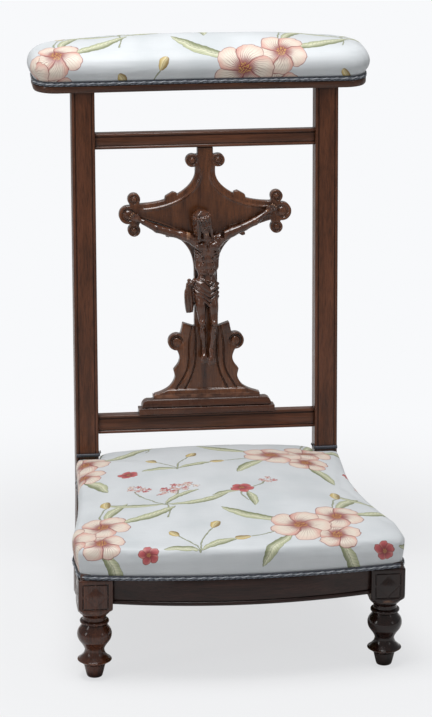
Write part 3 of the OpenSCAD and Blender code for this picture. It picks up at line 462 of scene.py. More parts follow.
# A spray of many small florets, each with five petals, scattered over a long oval
def sprayGroup():
    tree, add, given, turned, _ = motifTree("spray", ("Length", "Width", "Floret"),
                                            ("Heart", "Petal", "Blush", "Ink"))
    scale = add("Math.DIVIDE", [1.0, given["Floret"]])
    cells = add("TexVoronoi", {"Vector": turned, "Scale": scale, "Randomness": 0.8}, voronoi_dimensions="2D")
    away = add("VectorMath.SUBTRACT", [turned, cells.outputs["Position"]])
    parts = add("SeparateXYZ", [away])
    chance = add("SeparateColor", [cells.outputs["Color"]])
    angle = add("Math.ARCTAN2", [parts.outputs["Y"], parts.outputs["X"]])
    turn = add("Math.MULTIPLY_ADD", [chance.outputs["Red"], 3.0, angle])
    fold = add("Math.MULTIPLY", [turn, 2.5])
    wave = add("Math.COSINE", [fold])
    lobe = add("Math.ABSOLUTE", [wave])
    edge = add("MapRange", {"Value": lobe, "To Min": 0.22, "To Max": 0.58})
    radius = add("Math.DIVIDE", [cells.outputs["Distance"], edge])
    rim = add("MapRange", {"Value": radius, "From Min": 0.62, "From Max": 0.95, "To Max": 0.8})
    heart = add("MapRange", [cells.outputs["Distance"], 0.2, 0.08])
    mixed = add("Mix.RGBA", {"Factor": chance.outputs["Green"], 6: given["Petal"], 7: given["Blush"]})
    rimmed = add("Mix.RGBA", {"Factor": rim, 6: mixed, 7: given["Ink"]})
    hearted = add("Mix.RGBA", {"Factor": heart, 6: rimmed, 7: given["Heart"]})
    stretch = add("CombineXYZ", {"X": given["Length"], "Y": given["Width"], "Z": 1.0})
    oval = add("VectorMath.DIVIDE", [cells.outputs["Position"], stretch])
    inOval = add("VectorMath.LENGTH", [oval])
    ragged = add("Math.MULTIPLY_ADD", [chance.outputs["Blue"], 0.45, inOval])
    chosen = add("Math.LESS_THAN", [ragged, 1.1])
    mask = add("MapRange", [radius, 1.06, 0.96])
    printed = add("Math.MULTIPLY", [chosen, mask])
    return closeMotif(tree, hearted, printed)


# The printed cotton's repeat, in millimetres and degrees. Places are (across, up).
cotton = {
    "repeat": (330, 300),
    "ground": "#c7cbce", "groundShade": "#c1c6c9", "groundLight": "#cbcfd2",
    "thread": 0.9,  # real threads are about 0.35 mm apart: drawn coarser, so that they show
    "wander": 6.0,  # how far the drawing strays from true curves
    "redLine": 0.85, "greenLine": 0.75,  # about twice as wide as printed lines, so that they show
    "cream": "#dcd1c3", "coral": "#b5555a", "crimson": "#8d3841", "blush": "#c98c80", "redInk": "#7a3335",
    "pale": "#d2d3b8", "sage": "#aaae8c", "olive": "#707755", "greenInk": "#4d543d",
    "straw": "#d8cb9e", "ochre": "#bda463", "umber": "#75603a",
    # root, turn, length, bend
    "stems": [((140, 118), 78, 70, 0.3), ((236, 166), 68, 66, -0.3), ((236, 166), 116, 84, 0.35),
              ((26, 168), 98, 46, 0.3), ((38, 222), 52, 36, -0.3), ((270, 16), 70, 66, 0.35),
              ((270, 16), 122, 52, -0.3), ((236, 172), 268, 50, 0.4), ((60, 72), 205, 52, 0.4)],
    "stemWidth": 1.1,
    # root, turn, length, half width share, bend, fullness
    "leaves": [((66, 98), 148, 98, 0.1, 0.35, 0.75), ((158, 112), 28, 104, 0.09, -0.35, 0.75),
               ((130, 36), 292, 84, 0.11, 0.3, 0.75), ((72, 50), 232, 76, 0.12, -0.3, 0.75),
               ((146, 128), 58, 74, 0.12, 0.3, 0.75), ((236, 168), 158, 92, 0.06, 0.45, 0.7),
               ((238, 168), 20, 98, 0.065, -0.45, 0.7), ((236, 170), 42, 74, 0.075, 0.35, 0.7),
               ((26, 206), 276, 56, 0.12, 0.3, 0.75), ((18, 208), 200, 44, 0.13, -0.3, 0.75),
               ((270, 20), 24, 58, 0.11, 0.3, 0.75), ((268, 20), 172, 50, 0.12, -0.3, 0.75)],
    "buds": [((154, 184), 88, 30, 0.26, 0.1, 0.6), ((292, 78), 66, 26, 0.27, -0.1, 0.6),
             ((243, 60), 128, 20, 0.3, 0.0, 0.6), ((12, 50), 190, 22, 0.28, 0.1, 0.6)],
    # place, turn, half length, half width
    "sprays": [((262, 236), 32, 40, 17), ((204, 248), 128, 27, 12), ((64, 256), 50, 21, 11)],
    # place, turn, size, petals
    "blossoms": [((134, 50), 40, 34, 5), ((142, 106), 75, 39, 5), ((86, 80), 20, 45, 5)],
    "smallBlossoms": [((22, 218), 10, 18, 5), ((198, 20), 50, 15, 5)],
}


# Lays one printed motif over the colour so far
def printMotif(add, cloth, colour, motif, place, turn, repeat, numbers, colours):
    printed = add("Group", {"Vector": cloth, "Place": (place[0] * mm, place[1] * mm, 0), "Repeat": repeat,
                            "Turn": -math.radians(turn), **numbers, **{k: toLinear(v) for k, v in colours.items()}},
                  node_tree=motif)
    return add("Mix.RGBA", {"Factor": printed.outputs["Mask"], 6: colour, 7: printed.outputs["Color"]})


# Cotton sateen, screen printed: a smooth pale grey-blue face with a soft sheen, faint threads
# that run across, and matt printed flowers with fine, slightly wandering outlines.
def printedCotton(values):
    material, add = newMaterial("cotton sateen, printed")
    cloth = add("UVMap", uv_map="cloth")
    wander = add("TexNoise", {"Vector": cloth, "Scale": 60.0, "Detail": 2.0}, noise_dimensions="2D")
    ways = add("SeparateColor", [wander.outputs["Color"]])
    wanders = add("CombineXYZ", {"X": ways.outputs["Red"], "Y": ways.outputs["Green"]})
    centred = add("VectorMath.SUBTRACT", [wanders, (0.5, 0.5, 0.0)])
    stray = values["wander"] * mm
    drawn = add("VectorMath.MULTIPLY_ADD", [centred, (stray, stray, 0.0), cloth])
    repeat = (values["repeat"][0] * mm, values["repeat"][1] * mm, 1.0)
    mottled = add("TexNoise", {"Vector": cloth, "Scale": 14.0, "Detail": 2.0}, noise_dimensions="2D")
    colour = setRamp(add("ValToRGB", {"Fac": mottled}),
                     [(0.3, values["groundShade"]), (0.5, values["ground"]), (0.7, values["groundLight"])])
    stem, blade, blossom, spray = stemGroup(), bladeGroup(), blossomGroup(), sprayGroup()
    red, green = values["redLine"] * mm, values["greenLine"] * mm
    for root, turn, length, bend in values["stems"]:
        colour = printMotif(add, drawn, colour, stem, root, turn, repeat, {
            "Length": length * mm, "Width": values["stemWidth"] / length, "Bend": bend},
            {"Light": values["sage"], "Ink": values["greenInk"]})
    for kind, pale, light, shade, ink in (("leaves", "pale", "sage", "olive", "greenInk"),
                                          ("buds", "straw", "ochre", "umber", "umber")):
        for root, turn, length, width, bend, fullness in values[kind]:
            colour = printMotif(add, drawn, colour, blade, root, turn, repeat, {
                "Length": length * mm, "Width": width, "Bend": bend, "Fullness": fullness, "Line": green},
                {"Pale": values[pale], "Light": values[light], "Shade": values[shade], "Ink": values[ink]})
    for place, turn, length, width in values["sprays"]:
        colour = printMotif(add, drawn, colour, spray, place, turn, repeat, {
            "Length": length * mm, "Width": width * mm, "Floret": 10.5 * mm},
            {"Heart": values["crimson"], "Petal": values["coral"], "Blush": values["cream"], "Ink": values["redInk"]})
    for kind, heart, petal, blush in (("smallBlossoms", "crimson", "coral", "blush"),
                                      ("blossoms", "crimson", "cream", "blush")):
        for place, turn, size, petals in values[kind]:
            colour = printMotif(add, drawn, colour, blossom, place, turn, repeat, {
                "Size": size * mm, "Petals": petals, "Line": red},
                {"Heart": values[heart], "Petal": values[petal], "Blush": values[blush], "Ink": values["redInk"]})
    weft, warp = (add("TexNoise", {"Vector": add("Mapping", {"Vector": cloth, "Scale": way}),
                                   "Scale": 1000 / values["thread"], "Detail": 2.0})
                  for way in ((0.03, 1.0, 1.0), (1.0, 0.03, 1.0)))
    weave = add("Math.MULTIPLY_ADD", [warp, 0.4, weft])
    faint = add("MapRange", [weave, 0.4, 1.0, 0.955, 1.03])
    threaded = add("VectorMath.SCALE", {0: colour, "Scale": faint})
    relief = add("Bump", {"Height": weave, "Strength": 0.25, "Distance": 0.25 * mm})
    shader = add("BsdfPrincipled", {"Base Color": threaded, "Roughness": 0.5, "Normal": relief, "IOR": 1.47,
                                    "Sheen Weight": 0.12, "Sheen Roughness": 0.45})
    add("OutputMaterial", {"Surface": shader})
    return material


finish = {
    "postLeft": polishedWood("mahogany, French polished, left post", "z", seed=0.3),
    "postRight": polishedWood("mahogany, French polished, right post", "z", seed=1.1),
    "crossRails": polishedWood("mahogany, French polished, rails", "x", seed=2.4),
    "frontRail": polishedWood("mahogany, French polished, front rail", "x", deep="#1c0e0b", middle="#2b1813",
                              light="#382019", worn="#5e3f31", film=0.2, seed=3.7),
    "sideRails": polishedWood("mahogany, French polished, side rails", "y", deep="#26130e", middle="#42271c",
                              light="#563425", seed=4.2),
    "board": polishedWood("mahogany, French polished, armrest board", "x", deep="#2a140d", middle="#4c2c1b",
                          light="#603a27", seed=5.3),
    # Painted shade: both front legs are one wood, and the right leg's copy is made much darker to stand for its
    # shaded side
    "turnedLeft": polishedWood("mahogany, turned and French polished, left", "z", deep="#28130c", middle="#48271a",
                               light="#5f3623", worn="#8c6652", rough=0.2, film=0.5, cavity=12.0, seed=6.1),
    "turnedRightPaintedShade": polishedWood("mahogany, turned and French polished, right", "z", deep="#120807", middle="#20110d",
                                light="#2c1914", worn="#6a4a38", rough=0.2, film=0.4, cavity=12.0, seed=6.9),
    "carved": polishedWood("mahogany, carved and waxed", "z", deep="#3a1d10", middle="#603820", light="#76482d",
                           worn="#946349", cavity=14.0, rough=0.24, film=0.75, seed=7.9),
    "moulded": polishedWood("mahogany, moulded and waxed", "x", deep="#341a10", middle="#522e1c", light="#663d27",
                            cavity=12.0, rough=0.26, film=0.55, seed=8.6),
    "figure": polishedWood("walnut, carved, stained and varnished", "z", deep="#2e170d", middle="#52301f",
                           light="#6c412c", worn="#b08464", cavity=6.0, rough=0.16, film=1.0, seed=9.2),
    "bareX": bareWood("beech, sawn, grain across", "x"),
    "bareZ": bareWood("beech, sawn, grain upright", "z"),
    "iron": bluedIron("wrought iron, blued"),
    "webbing": wovenJute("jute webbing, woven", 1.6),
    "hessian": wovenJute("hessian, plain woven", 2.2),
    "hair": curledHair("horsehair, curled"),
    "cotton": printedCotton(cotton),
    "cordWhite": filamentCord("rayon cord, silver grey", "#ced2d7", "#9aa1aa"),
    "cordBlue": filamentCord("rayon cord, grey-blue", "#8d949f", "#5c626c"),
    "cordDark": filamentCord("rayon cord, slate", "#555a66", "#30333b"),
    "tape": filamentCord("woven tape, slate", "#494c55", "#2b2d34"),
}
print("materials made:", len(bpy.data.materials))

# Floor, light and background

studio = {
    "floorHalf": 30, "floorColour": "#d6d6d6", "background": "#f8f9fb", "fadeFrom": 0.4, "fadeTo": 0.95,
    "floorGlow": 0.7, "ambient": 0.33,
    # name: (place, aims at, width, height, watts)
    "lamps": {"overhead": ((-0.35, -0.3, 3.1), (0, 0, 0.3), 1.6, 1.4, 80),
              "left window": ((-3.0, -1.4, 1.3), (0, 0, 0.4), 0.35, 1.5, 11),
              "right fill": ((2.6, -2.4, 1.4), (0, 0, 0.4), 0.4, 1.4, 4)},
}


# The pale background shows to the eye only: polish reflects the dimmer room. The matt white floor
# fades into that background, so that no horizon shows.
def makeStudio(values):
    world = bpy.data.worlds.new("studio")
    bpy.context.scene.world = world
    world.use_nodes = True
    world.node_tree.nodes.clear()
    add = partial(addNode, world.node_tree)
    pale = toLinear(values["background"])
    seen = add("LightPath").outputs["Is Camera Ray"]
    room = add("Background", {"Color": (1, 1, 1, 1), "Strength": values["ambient"]})
    wall = add("Background", {"Color": pale, "Strength": 1.0})
    mixed = add("MixShader", [seen, room, wall])
    add("OutputWorld", {"Surface": mixed})
    for name, (place, target, width, height, watts) in values["lamps"].items():
        data = bpy.data.lights.new(name, "AREA")
        data.shape = "RECTANGLE"
        data.size, data.size_y, data.energy = width, height, watts
        lamp = bpy.data.objects.new(name, data)
        lamp.location = place
        lamp.rotation_euler = (Vector(target) - Vector(place)).to_track_quat("-Z", "Y").to_euler()
        bpy.context.scene.collection.objects.link(lamp)
    material, add = newMaterial("studio floor, matt white")
    spot = add("TexCoord").outputs["Object"]
    reach = add("VectorMath.LENGTH", [spot])
    far = add("MapRange", [reach, values["fadeFrom"], values["fadeTo"]], interpolation_type="SMOOTHSTEP")
    near = add("MapRange", {"Value": far, "To Min": values["floorGlow"], "To Max": 1.0})
    shown = add("Math.MULTIPLY", [near, add("LightPath").outputs["Is Camera Ray"]])
    matt = add("BsdfDiffuse", {"Color": toLinear(values["floorColour"])})
    glow = add("Emission", {"Color": pale})
    mixed = add("MixShader", [shown, matt, glow])
    add("OutputMaterial", {"Surface": mixed})
    h = values["floorHalf"] / mm
    floor = newPiece("floor", [(-h, -h, 0), (h, -h, 0), (h, h, 0), (-h, h, 0)], [(0, 1, 2, 3)], material, False)
    bpy.context.scene.view_settings.view_transform = "Standard"


makeStudio(studio)

# Wooden parts whose shape is the frame's own: welded, edges eased, shaded by angle


def easedCopy(node, name, material, ease=0.7, sharp=38):
    mesh = cadNodes[node].data.copy()
    with meshWork(mesh) as work:
        bmesh.ops.remove_doubles(work, verts=work.verts, dist=0.002 * mm)
        bmesh.ops.dissolve_limit(work, angle_limit=math.radians(0.5), verts=work.verts, edges=work.edges)
        bmesh.ops.recalc_face_normals(work, faces=work.faces)
    piece = placePiece(name, mesh, material)
    bevel = piece.modifiers.new("eased edges", "BEVEL")
    bevel.width = ease * mm
    bevel.segments = 2
    bevel.limit_method = "ANGLE"
    bevel.angle_limit = math.radians(30)
    settle(piece)
    with meshWork(piece.data) as work:
        for edge in work.edges:
            edge.smooth = not (len(edge.link_faces) == 2 and edge.calc_face_angle(0) > math.radians(sharp))
    return piece


woodCopies = {
    "rear_post_left": ("polished_wood", "postLeft", 0.8),
    "rear_post_right": ("polished_wood", "postRight", 0.8),
    "front_rail": ("polished_wood", "frontRail", 0.6),
    "side_rail_left": ("polished_wood", "sideRails", 0.8),
    "side_rail_right": ("polished_wood", "sideRails", 0.8),
    "rear_rail": ("polished_wood", "sideRails", 0.8),
    "lower_back_rail": ("polished_wood", "crossRails", 0.6),
    "upper_back_rail": ("polished_wood", "crossRails", 0.6),
    "armrest_board": ("polished_wood", "board", 0.6),
    "corner_blocks": ("secondary_wood", "bareZ", 0.8),
}
for node, (slot, look, ease) in woodCopies.items():
    ride(easedCopy(node, node + "_finished", finish[look], ease), slot, node)

for node, look in (("corner_block_screws", "iron"), ("gimp_pins", "iron"), ("corpus_nails", "iron"),
                   ("splat_dowels", "bareZ"), ("corpus_peg", "bareX")):
    cadNodes[node].data.materials.clear()
    cadNodes[node].data.materials.append(finish[look])
print("wooden frame finished")

# Carved and turned work is shaped on a grid of distances to its surface


outside = 30.0  # a grid's distances start at this, well outside everything


def makeGrid(low, high, step):
    axes = [np.arange(a, b + step, step, dtype=np.float32) for a, b in zip(low, high)]
    return {"axes": axes, "step": step, "field": np.full([len(a) for a in axes], outside, np.float32)}


# Three lines of places, so that sums of them fill the whole grid
def crossed(axes):
    return axes[0][:, None, None], axes[1][None, :, None], axes[2][None, None, :]


# Joins a form to the grid, or cuts it out. blend is the width of the soft join.
def shape(grid, form, blend, cut):
    distance, low, high = form
    margin = blend + 3 * grid["step"]
    spans = []
    for axis, a, b in zip(grid["axes"], low, high):
        spans.append(slice(int(np.searchsorted(axis, a - margin)), int(np.searchsorted(axis, b + margin))))
    if any(s.stop <= s.start for s in spans):
        return
    old = grid["field"][tuple(spans)]
    new = distance(*crossed([axis[span] for axis, span in zip(grid["axes"], spans)])).astype(np.float32)
    if cut:
        old = -old
    made = np.minimum(old, new)
    if blend:
        h = np.clip(0.5 + 0.5 * (new - old) / blend, 0, 1)
        made = new + (old - new) * h - blend * h * (1 - h)
    grid["field"][tuple(spans)] = -made if cut else made


def ball(centre, radii, turn=None):
    c, r = np.asarray(centre, float), np.asarray(radii, float) * np.ones(3)
    rows = np.eye(3) if turn is None else np.asarray(turn).T

    def distance(x, y, z):
        p = [x - c[0], y - c[1], z - c[2]]
        q = [row[0] * p[0] + row[1] * p[1] + row[2] * p[2] for row in rows]
        outer = np.sqrt(sum((q[i] / r[i]) ** 2 for i in range(3)))
        inner = np.sqrt(sum((q[i] / r[i] ** 2) ** 2 for i in range(3)))
        return outer * (outer - 1) / np.maximum(inner, 1e-6)
    return distance, c - r.max(), c + r.max()


def limb(start, end, r0, r1):
    a, b = np.asarray(start, float), np.asarray(end, float)
    run = b - a

    def distance(x, y, z):
        p = [x - a[0], y - a[1], z - a[2]]
        t = np.clip((p[0] * run[0] + p[1] * run[1] + p[2] * run[2]) / max(run @ run, 1e-9), 0, 1)
        return np.sqrt(sum((p[i] - run[i] * t) ** 2 for i in range(3))) - (r0 + (r1 - r0) * t)
    r = max(r0, r1)
    return distance, np.minimum(a, b) - r, np.maximum(a, b) + r


# The grid's surface as a mesh: quads and triangles, coarser where it is flat
def gridMesh(grid, adaptivity=0.06):
    volume = openvdb.FloatGrid(outside)
    volume.copyFromArray(np.ascontiguousarray(grid["field"]))
    points, triangles, quads = volume.convertToPolygons(isovalue=0.0, adaptivity=adaptivity)
    low = np.array([axis[0] for axis in grid["axes"]])
    return points * grid["step"] + low, [list(t) for t in triangles] + [list(q) for q in quads]


def gridPiece(name, grids, matrix, material, adaptivity=0.06):
    points, faces = [], []
    for grid in grids:
        some, theirs = gridMesh(grid, adaptivity)
        faces += [[i + len(points) for i in f] for f in theirs]
        points += list(some)
    points = np.asarray(points) @ np.asarray(matrix)[:3, :3].T + np.asarray(matrix)[:3, 3]
    piece = newPiece(name, points, faces, material)
    with meshWork(piece.data) as work:
        bmesh.ops.remove_doubles(work, verts=work.verts, dist=0.001 * mm)
        bmesh.ops.recalc_face_normals(work, faces=work.faces)
    return piece


# Curves for outlines

def bezier(a, b, c, d, steps):
    t = np.linspace(0, 1, steps + 1)[:, None]
    a, b, c, d = (np.asarray(p, float) for p in (a, b, c, d))
    return (1 - t) ** 3 * a + 3 * (1 - t) ** 2 * t * b + 3 * (1 - t) * t ** 2 * c + t ** 3 * d


def spline(points, steps):
    p = [np.asarray(q, float) for q in points]
    made = []
    for i in range(len(p) - 1):
        a, b, c, d = p[max(i - 1, 0)], p[i], p[i + 1], p[min(i + 2, len(p) - 1)]
        for k in range(steps):
            t = k / steps
            made.append((2 * b + (c - a) * t + (2 * a - 5 * b + 4 * c - d) * t ** 2
                         + (3 * b - a - 3 * c + d) * t ** 3) / 2)
    return np.array(made + [p[-1]])


# Signed distance to a closed outline, negative inside
def outlineDistance(u, w, outline):
    outline = np.asarray(outline, float)
    nearest = np.full(np.broadcast(u, w).shape, 1e9)
    inside = np.zeros(nearest.shape, bool)
    for a, b in zip(outline, np.roll(outline, -1, axis=0)):
        run = b - a
        t = np.clip(((u - a[0]) * run[0] + (w - a[1]) * run[1]) / max(run @ run, 1e-9), 0, 1)
        nearest = np.minimum(nearest, (u - a[0] - run[0] * t) ** 2 + (w - a[1] - run[1] * t) ** 2)
        if a[1] != b[1]:
            crosses = (w < a[1]) != (w < b[1])
            inside ^= crosses & (u < a[0] + (w - a[1]) / (b[1] - a[1]) * run[0])
    return np.where(inside, -1, 1) * np.sqrt(nearest)


chair = {"rake": 4.2, "legToPost": 391, "railTop": 151, "panelIn": 7.5, "panelUp": 98.39}
# Plans are drawn from the middle between the front legs: this is where that lies in the frame
planPlace = np.array([(boxOf("rear_post_left")[0].x + boxOf("rear_post_right")[1].x) / 2,
                      boxOf("rear_rail")[0].y - chair["legToPost"] - 3])

# Front legs

leg = {
    "step": 0.55, "half": 205, "blockWidth": 48, "blockHeight": 50, "bulb": 24.3, "tack": 8.5, "tackIn": 3,
    "edge": 1.2,
    "shoulder": 11, "borderShare": 0.36, "grooveWidth": 1.5, "grooveDepth": 1.4,
    "diamondWidth": 28, "diamondRise": 2.6, "segments": 96,
    "foot": [(0.30, 0), (0.40, 0.004), (0.45, 0.018), (0.5, 0.06), (0.61, 0.173), (0.6, 0.183)],
    "disc": [(0.62, 0.19), (0.66, 0.198), (0.76, 0.213), (0.93, 0.243), (0.985, 0.252), (0.985, 0.26), (0.93, 0.266)],
    "bulbShape": [(0.9, 0.27), (0.78, 0.3), (0.64, 0.34), (0.565, 0.396), (0.61, 0.44), (0.73, 0.49),
                  (0.93, 0.56), (1, 0.629), (0.95, 0.69), (0.8, 0.745), (0.7, 0.785), (0.68, 0.792)],
    "ring": [(0.74, 0.797), (0.82, 0.806), (0.845, 0.822), (0.82, 0.838), (0.74, 0.848), (0.69, 0.853)],
    "neck": [(0.68, 0.862), (0.68, 0.9), (0.74, 0.925), (0.85, 0.95), (0.93, 0.975), (0.96, 1.0), (0.97, 1.03)],
}


def turnedShape(values, centre, height):
    profile = np.concatenate([spline(values[part], 5) for part in ("foot", "disc", "bulbShape", "ring", "neck")])
    n = values["segments"]
    angles = 2 * math.pi * np.arange(n) / n
    points, faces = [(centre[0], centre[1], 0)], []
    for share, level in profile:
        r = share * values["bulb"]
        points += [(centre[0] + r * math.cos(a), centre[1] + r * math.sin(a), level * height) for a in angles]
    rings = len(profile)
    points.append((centre[0], centre[1], profile[-1][1] * height))
    faces += [(0, 1 + (i + 1) % n, 1 + i) for i in range(n)]
    faces += ringFaces(rings, n, 1)
    top = 1 + rings * n
    faces += [(top, 1 + (rings - 1) * n + i, 1 + (rings - 1) * n + (i + 1) % n) for i in range(n)]
    return points, faces


def blockGrid(values, low, high, side):
    half = values["blockWidth"] / 2
    cx, cy = (low.x + high.x) / 2, (low.y + high.y) / 2
    bottom = high.z - values["tack"] - values["blockHeight"]
    top = high.z - values["tack"]
    grid = makeGrid((cx - half - 5, cy - half - 6, bottom - 3), (cx + half + 5, cy + half + 5, high.z + 3),
                    values["step"])
    x, y, z = crossed(grid["axes"])
    e = values["edge"]
    dx, dy = np.abs(x - cx) - half + e, np.abs(y - cy) - half + e
    dz = np.abs(z - (bottom + top) / 2) - (top - bottom) / 2 + e
    box = np.sqrt(np.maximum(dx, 0) ** 2 + np.maximum(dy, 0) ** 2 + np.maximum(dz, 0) ** 2) - e
    box = box + np.minimum(np.maximum(np.maximum(dx, dy), dz), 0)
    # The turner rounds the block's lower corners into a shoulder
    lift = np.clip((z - bottom) / values["shoulder"], 0, 1)
    allowed = half - 1.5 + (half * 0.45) * np.sqrt(1 - (1 - lift) ** 2)
    allowed = allowed + np.where(z - bottom > values["shoulder"], 30, 0)
    rounding = np.sqrt((x - cx) ** 2 + (y - cy) ** 2) - allowed
    body = np.maximum(box, rounding * 0.8)
    # An incised border and a low diamond on the front face and on the outer one
    middle = (bottom + top) / 2
    diamond = values["diamondWidth"] / 2
    outer = cx + side * half
    g, depth, border = values["grooveWidth"] / 2, values["grooveDepth"], 2 * values["borderShare"]
    for across, face in ((np.abs(x - cx), (cy - half) - y), (np.abs(y - cy), side * (x - outer))):
        ring = np.abs(np.maximum(across / (border * half), np.abs(z - middle) / (border * (top - middle))) - 1)
        ring = ring * border * half - g
        body = np.maximum(body, -np.maximum(ring, -face - depth))
        rim = np.abs(across + np.abs(z - middle) - diamond - 1.2) - 1.1
        body = np.maximum(body, -np.maximum(rim, -face - depth * 0.7))
        roof = (across + np.abs(z - middle) - diamond) * values["diamondRise"] / diamond + face
        body = np.minimum(body, np.maximum(roof, -face - 2) * 0.98)
    tongue = np.maximum(np.maximum(np.abs(x - cx) - half + values["tackIn"],
                                   np.abs(y - cy) - half + values["tackIn"]),
                        np.abs(z - (top + high.z) / 2 + 2) - values["tack"] / 2 - 2)
    grid["field"] = np.minimum(body, tongue).astype(np.float32)
    return grid


for side, node in ((-1, "front_leg_left"), (1, "front_leg_right")):
    low, high = boxOf(node)
    centre = (planPlace[0] + side * leg["half"], planPlace[1])
    height = high.z - leg["tack"] - leg["blockHeight"]
    turnedPoints, turnedFaces = turnedShape(leg, centre, height)
    halfBlock = leg["blockWidth"] / 2
    lowC = Vector((centre[0] - halfBlock, centre[1] - halfBlock, low.z))
    highC = Vector((centre[0] + halfBlock, centre[1] + halfBlock, high.z))
    blockPoints, blockFaces = gridMesh(blockGrid(leg, lowC, highC, side), 0.1)
    shift = len(turnedPoints)
    # The right leg takes the copy that is painted darker as shade
    whole = newPiece(node + "_turned", list(turnedPoints) + list(blockPoints),
                     list(turnedFaces) + [[i + shift for i in f] for f in blockFaces],
                     finish["turnedLeft" if side < 0 else "turnedRightPaintedShade"])
    with meshWork(whole.data) as work:
        bmesh.ops.recalc_face_normals(work, faces=work.faces)
    ride(whole, "polished_wood", node)
print("front legs turned")

# The cross splat. Places on it are (across, up from the lower rail, forward of its face).

# From places on the leaning back to the frame: across, back from the posts' face, up along them
def rakedFrame():
    place = Matrix.Translation((planPlace[0], chair["legToPost"] + planPlace[1], chair["railTop"]))
    return place @ Matrix.Rotation(-math.radians(chair["rake"]), 4, "X")


def panelFrame():
    face = Matrix(((1, 0, 0, 0), (0, 0, -1, chair["panelIn"]), (0, 1, 0, chair["panelUp"]), (0, 0, 0, 1)))
    return rakedFrame() @ face


splat = {
    "step": 0.8, "half": 128.3, "height": 401.75, "thick": 13, "edge": 1.3,
    # centre and radius, as shares of the half width and of the height
    "lobes": [((0.15, 0.95), 0.077), ((0.826, 0.81), 0.073), ((0.892, 0.753), 0.108), ((0.826, 0.695), 0.073)],
    "crockets": [((0.4, 0.8165), 0.036), ((0.408, 0.679), 0.028)],
    "scroll": ((0.343, 0.27), 0.101),
    "border": 7.5, "borderDrop": 1.3, "bead": 1.5, "beadRise": 0.9, "ringShare": 0.58, "ringDepth": 1.5,
    "scrollRim": 3.0, "scrollDepth": 2.4, "eyeShare": 0.5,
    # outer and inner line of the flared bead beside the pedestal's middle: (across, up)
    "innerLine": [(17, 150), (15.5, 110), (16, 84), (21, 60), (33, 34)],
    "outerLine": [(20, 136), (25, 110), (26, 84), (30, 62), (47, 34)],
    "lineDepth": 1.8, "lineWidth": 1.3, "torusFoot": 22.5, "torusTop": 37, "torusRise": 4.5,
}


def crossOutline(v):
    half, high = v["half"], v["height"]
    stem, shaft = 0.09 * half, 0.134 * half

    def at(pairs):
        return [(a * half, b * high) for a, b in pairs]
    parts = [[(stem, high - 0.3), (stem, 0.965 * high), (0.115 * half, 0.925 * high)],
             bezier(*at([(0.115, 0.908), (0.117, 0.85), (0.39, 0.793), (0.76, 0.793)]), 22),
             at([(0.785, 0.808), (0.86, 0.8), (0.885, 0.78), (0.885, 0.726), (0.86, 0.706), (0.785, 0.698)]),
             bezier(*at([(0.76, 0.722), (0.35, 0.682), (0.137, 0.647), (0.134, 0.534)]), 22),
             [(shaft, 0.329 * high)],
             at([(0.153, 0.329), (0.27, 0.342), (0.285, 0.318), (0.3, 0.3)]),
             spline(at([(0.343, 0.24), (0.318, 0.222), (0.309, 0.205), (0.33, 0.185), (0.382, 0.163)]), 4),
             spline(at([(0.372, 0.15), (0.366, 0.134), (0.395, 0.112), (0.445, 0.095), (0.52, 0.082),
                        (0.608, 0.073)]), 4),
             [(0.608 * half, 0.0)]]
    right = np.concatenate([np.asarray(p, float) for p in parts])
    left = right[::-1] * [-1, 1]
    return np.concatenate([right, left])


def lineDistance(a, w, points):
    made = np.full(np.broadcast(a, w).shape, 1e9)
    for p, q in zip(points[:-1], points[1:]):
        run = np.asarray(q, float) - p
        t = np.clip(((a - p[0]) * run[0] + (w - p[1]) * run[1]) / (run @ run), 0, 1)
        made = np.minimum(made, np.hypot(a - p[0] - run[0] * t, w - p[1] - run[1] * t))
    return made


# A round-bottomed or round-topped line: 1 on it, 0 from width away
def ridge(d, width):
    return np.sqrt(np.clip(1 - (d / width) ** 2, 0, 1))


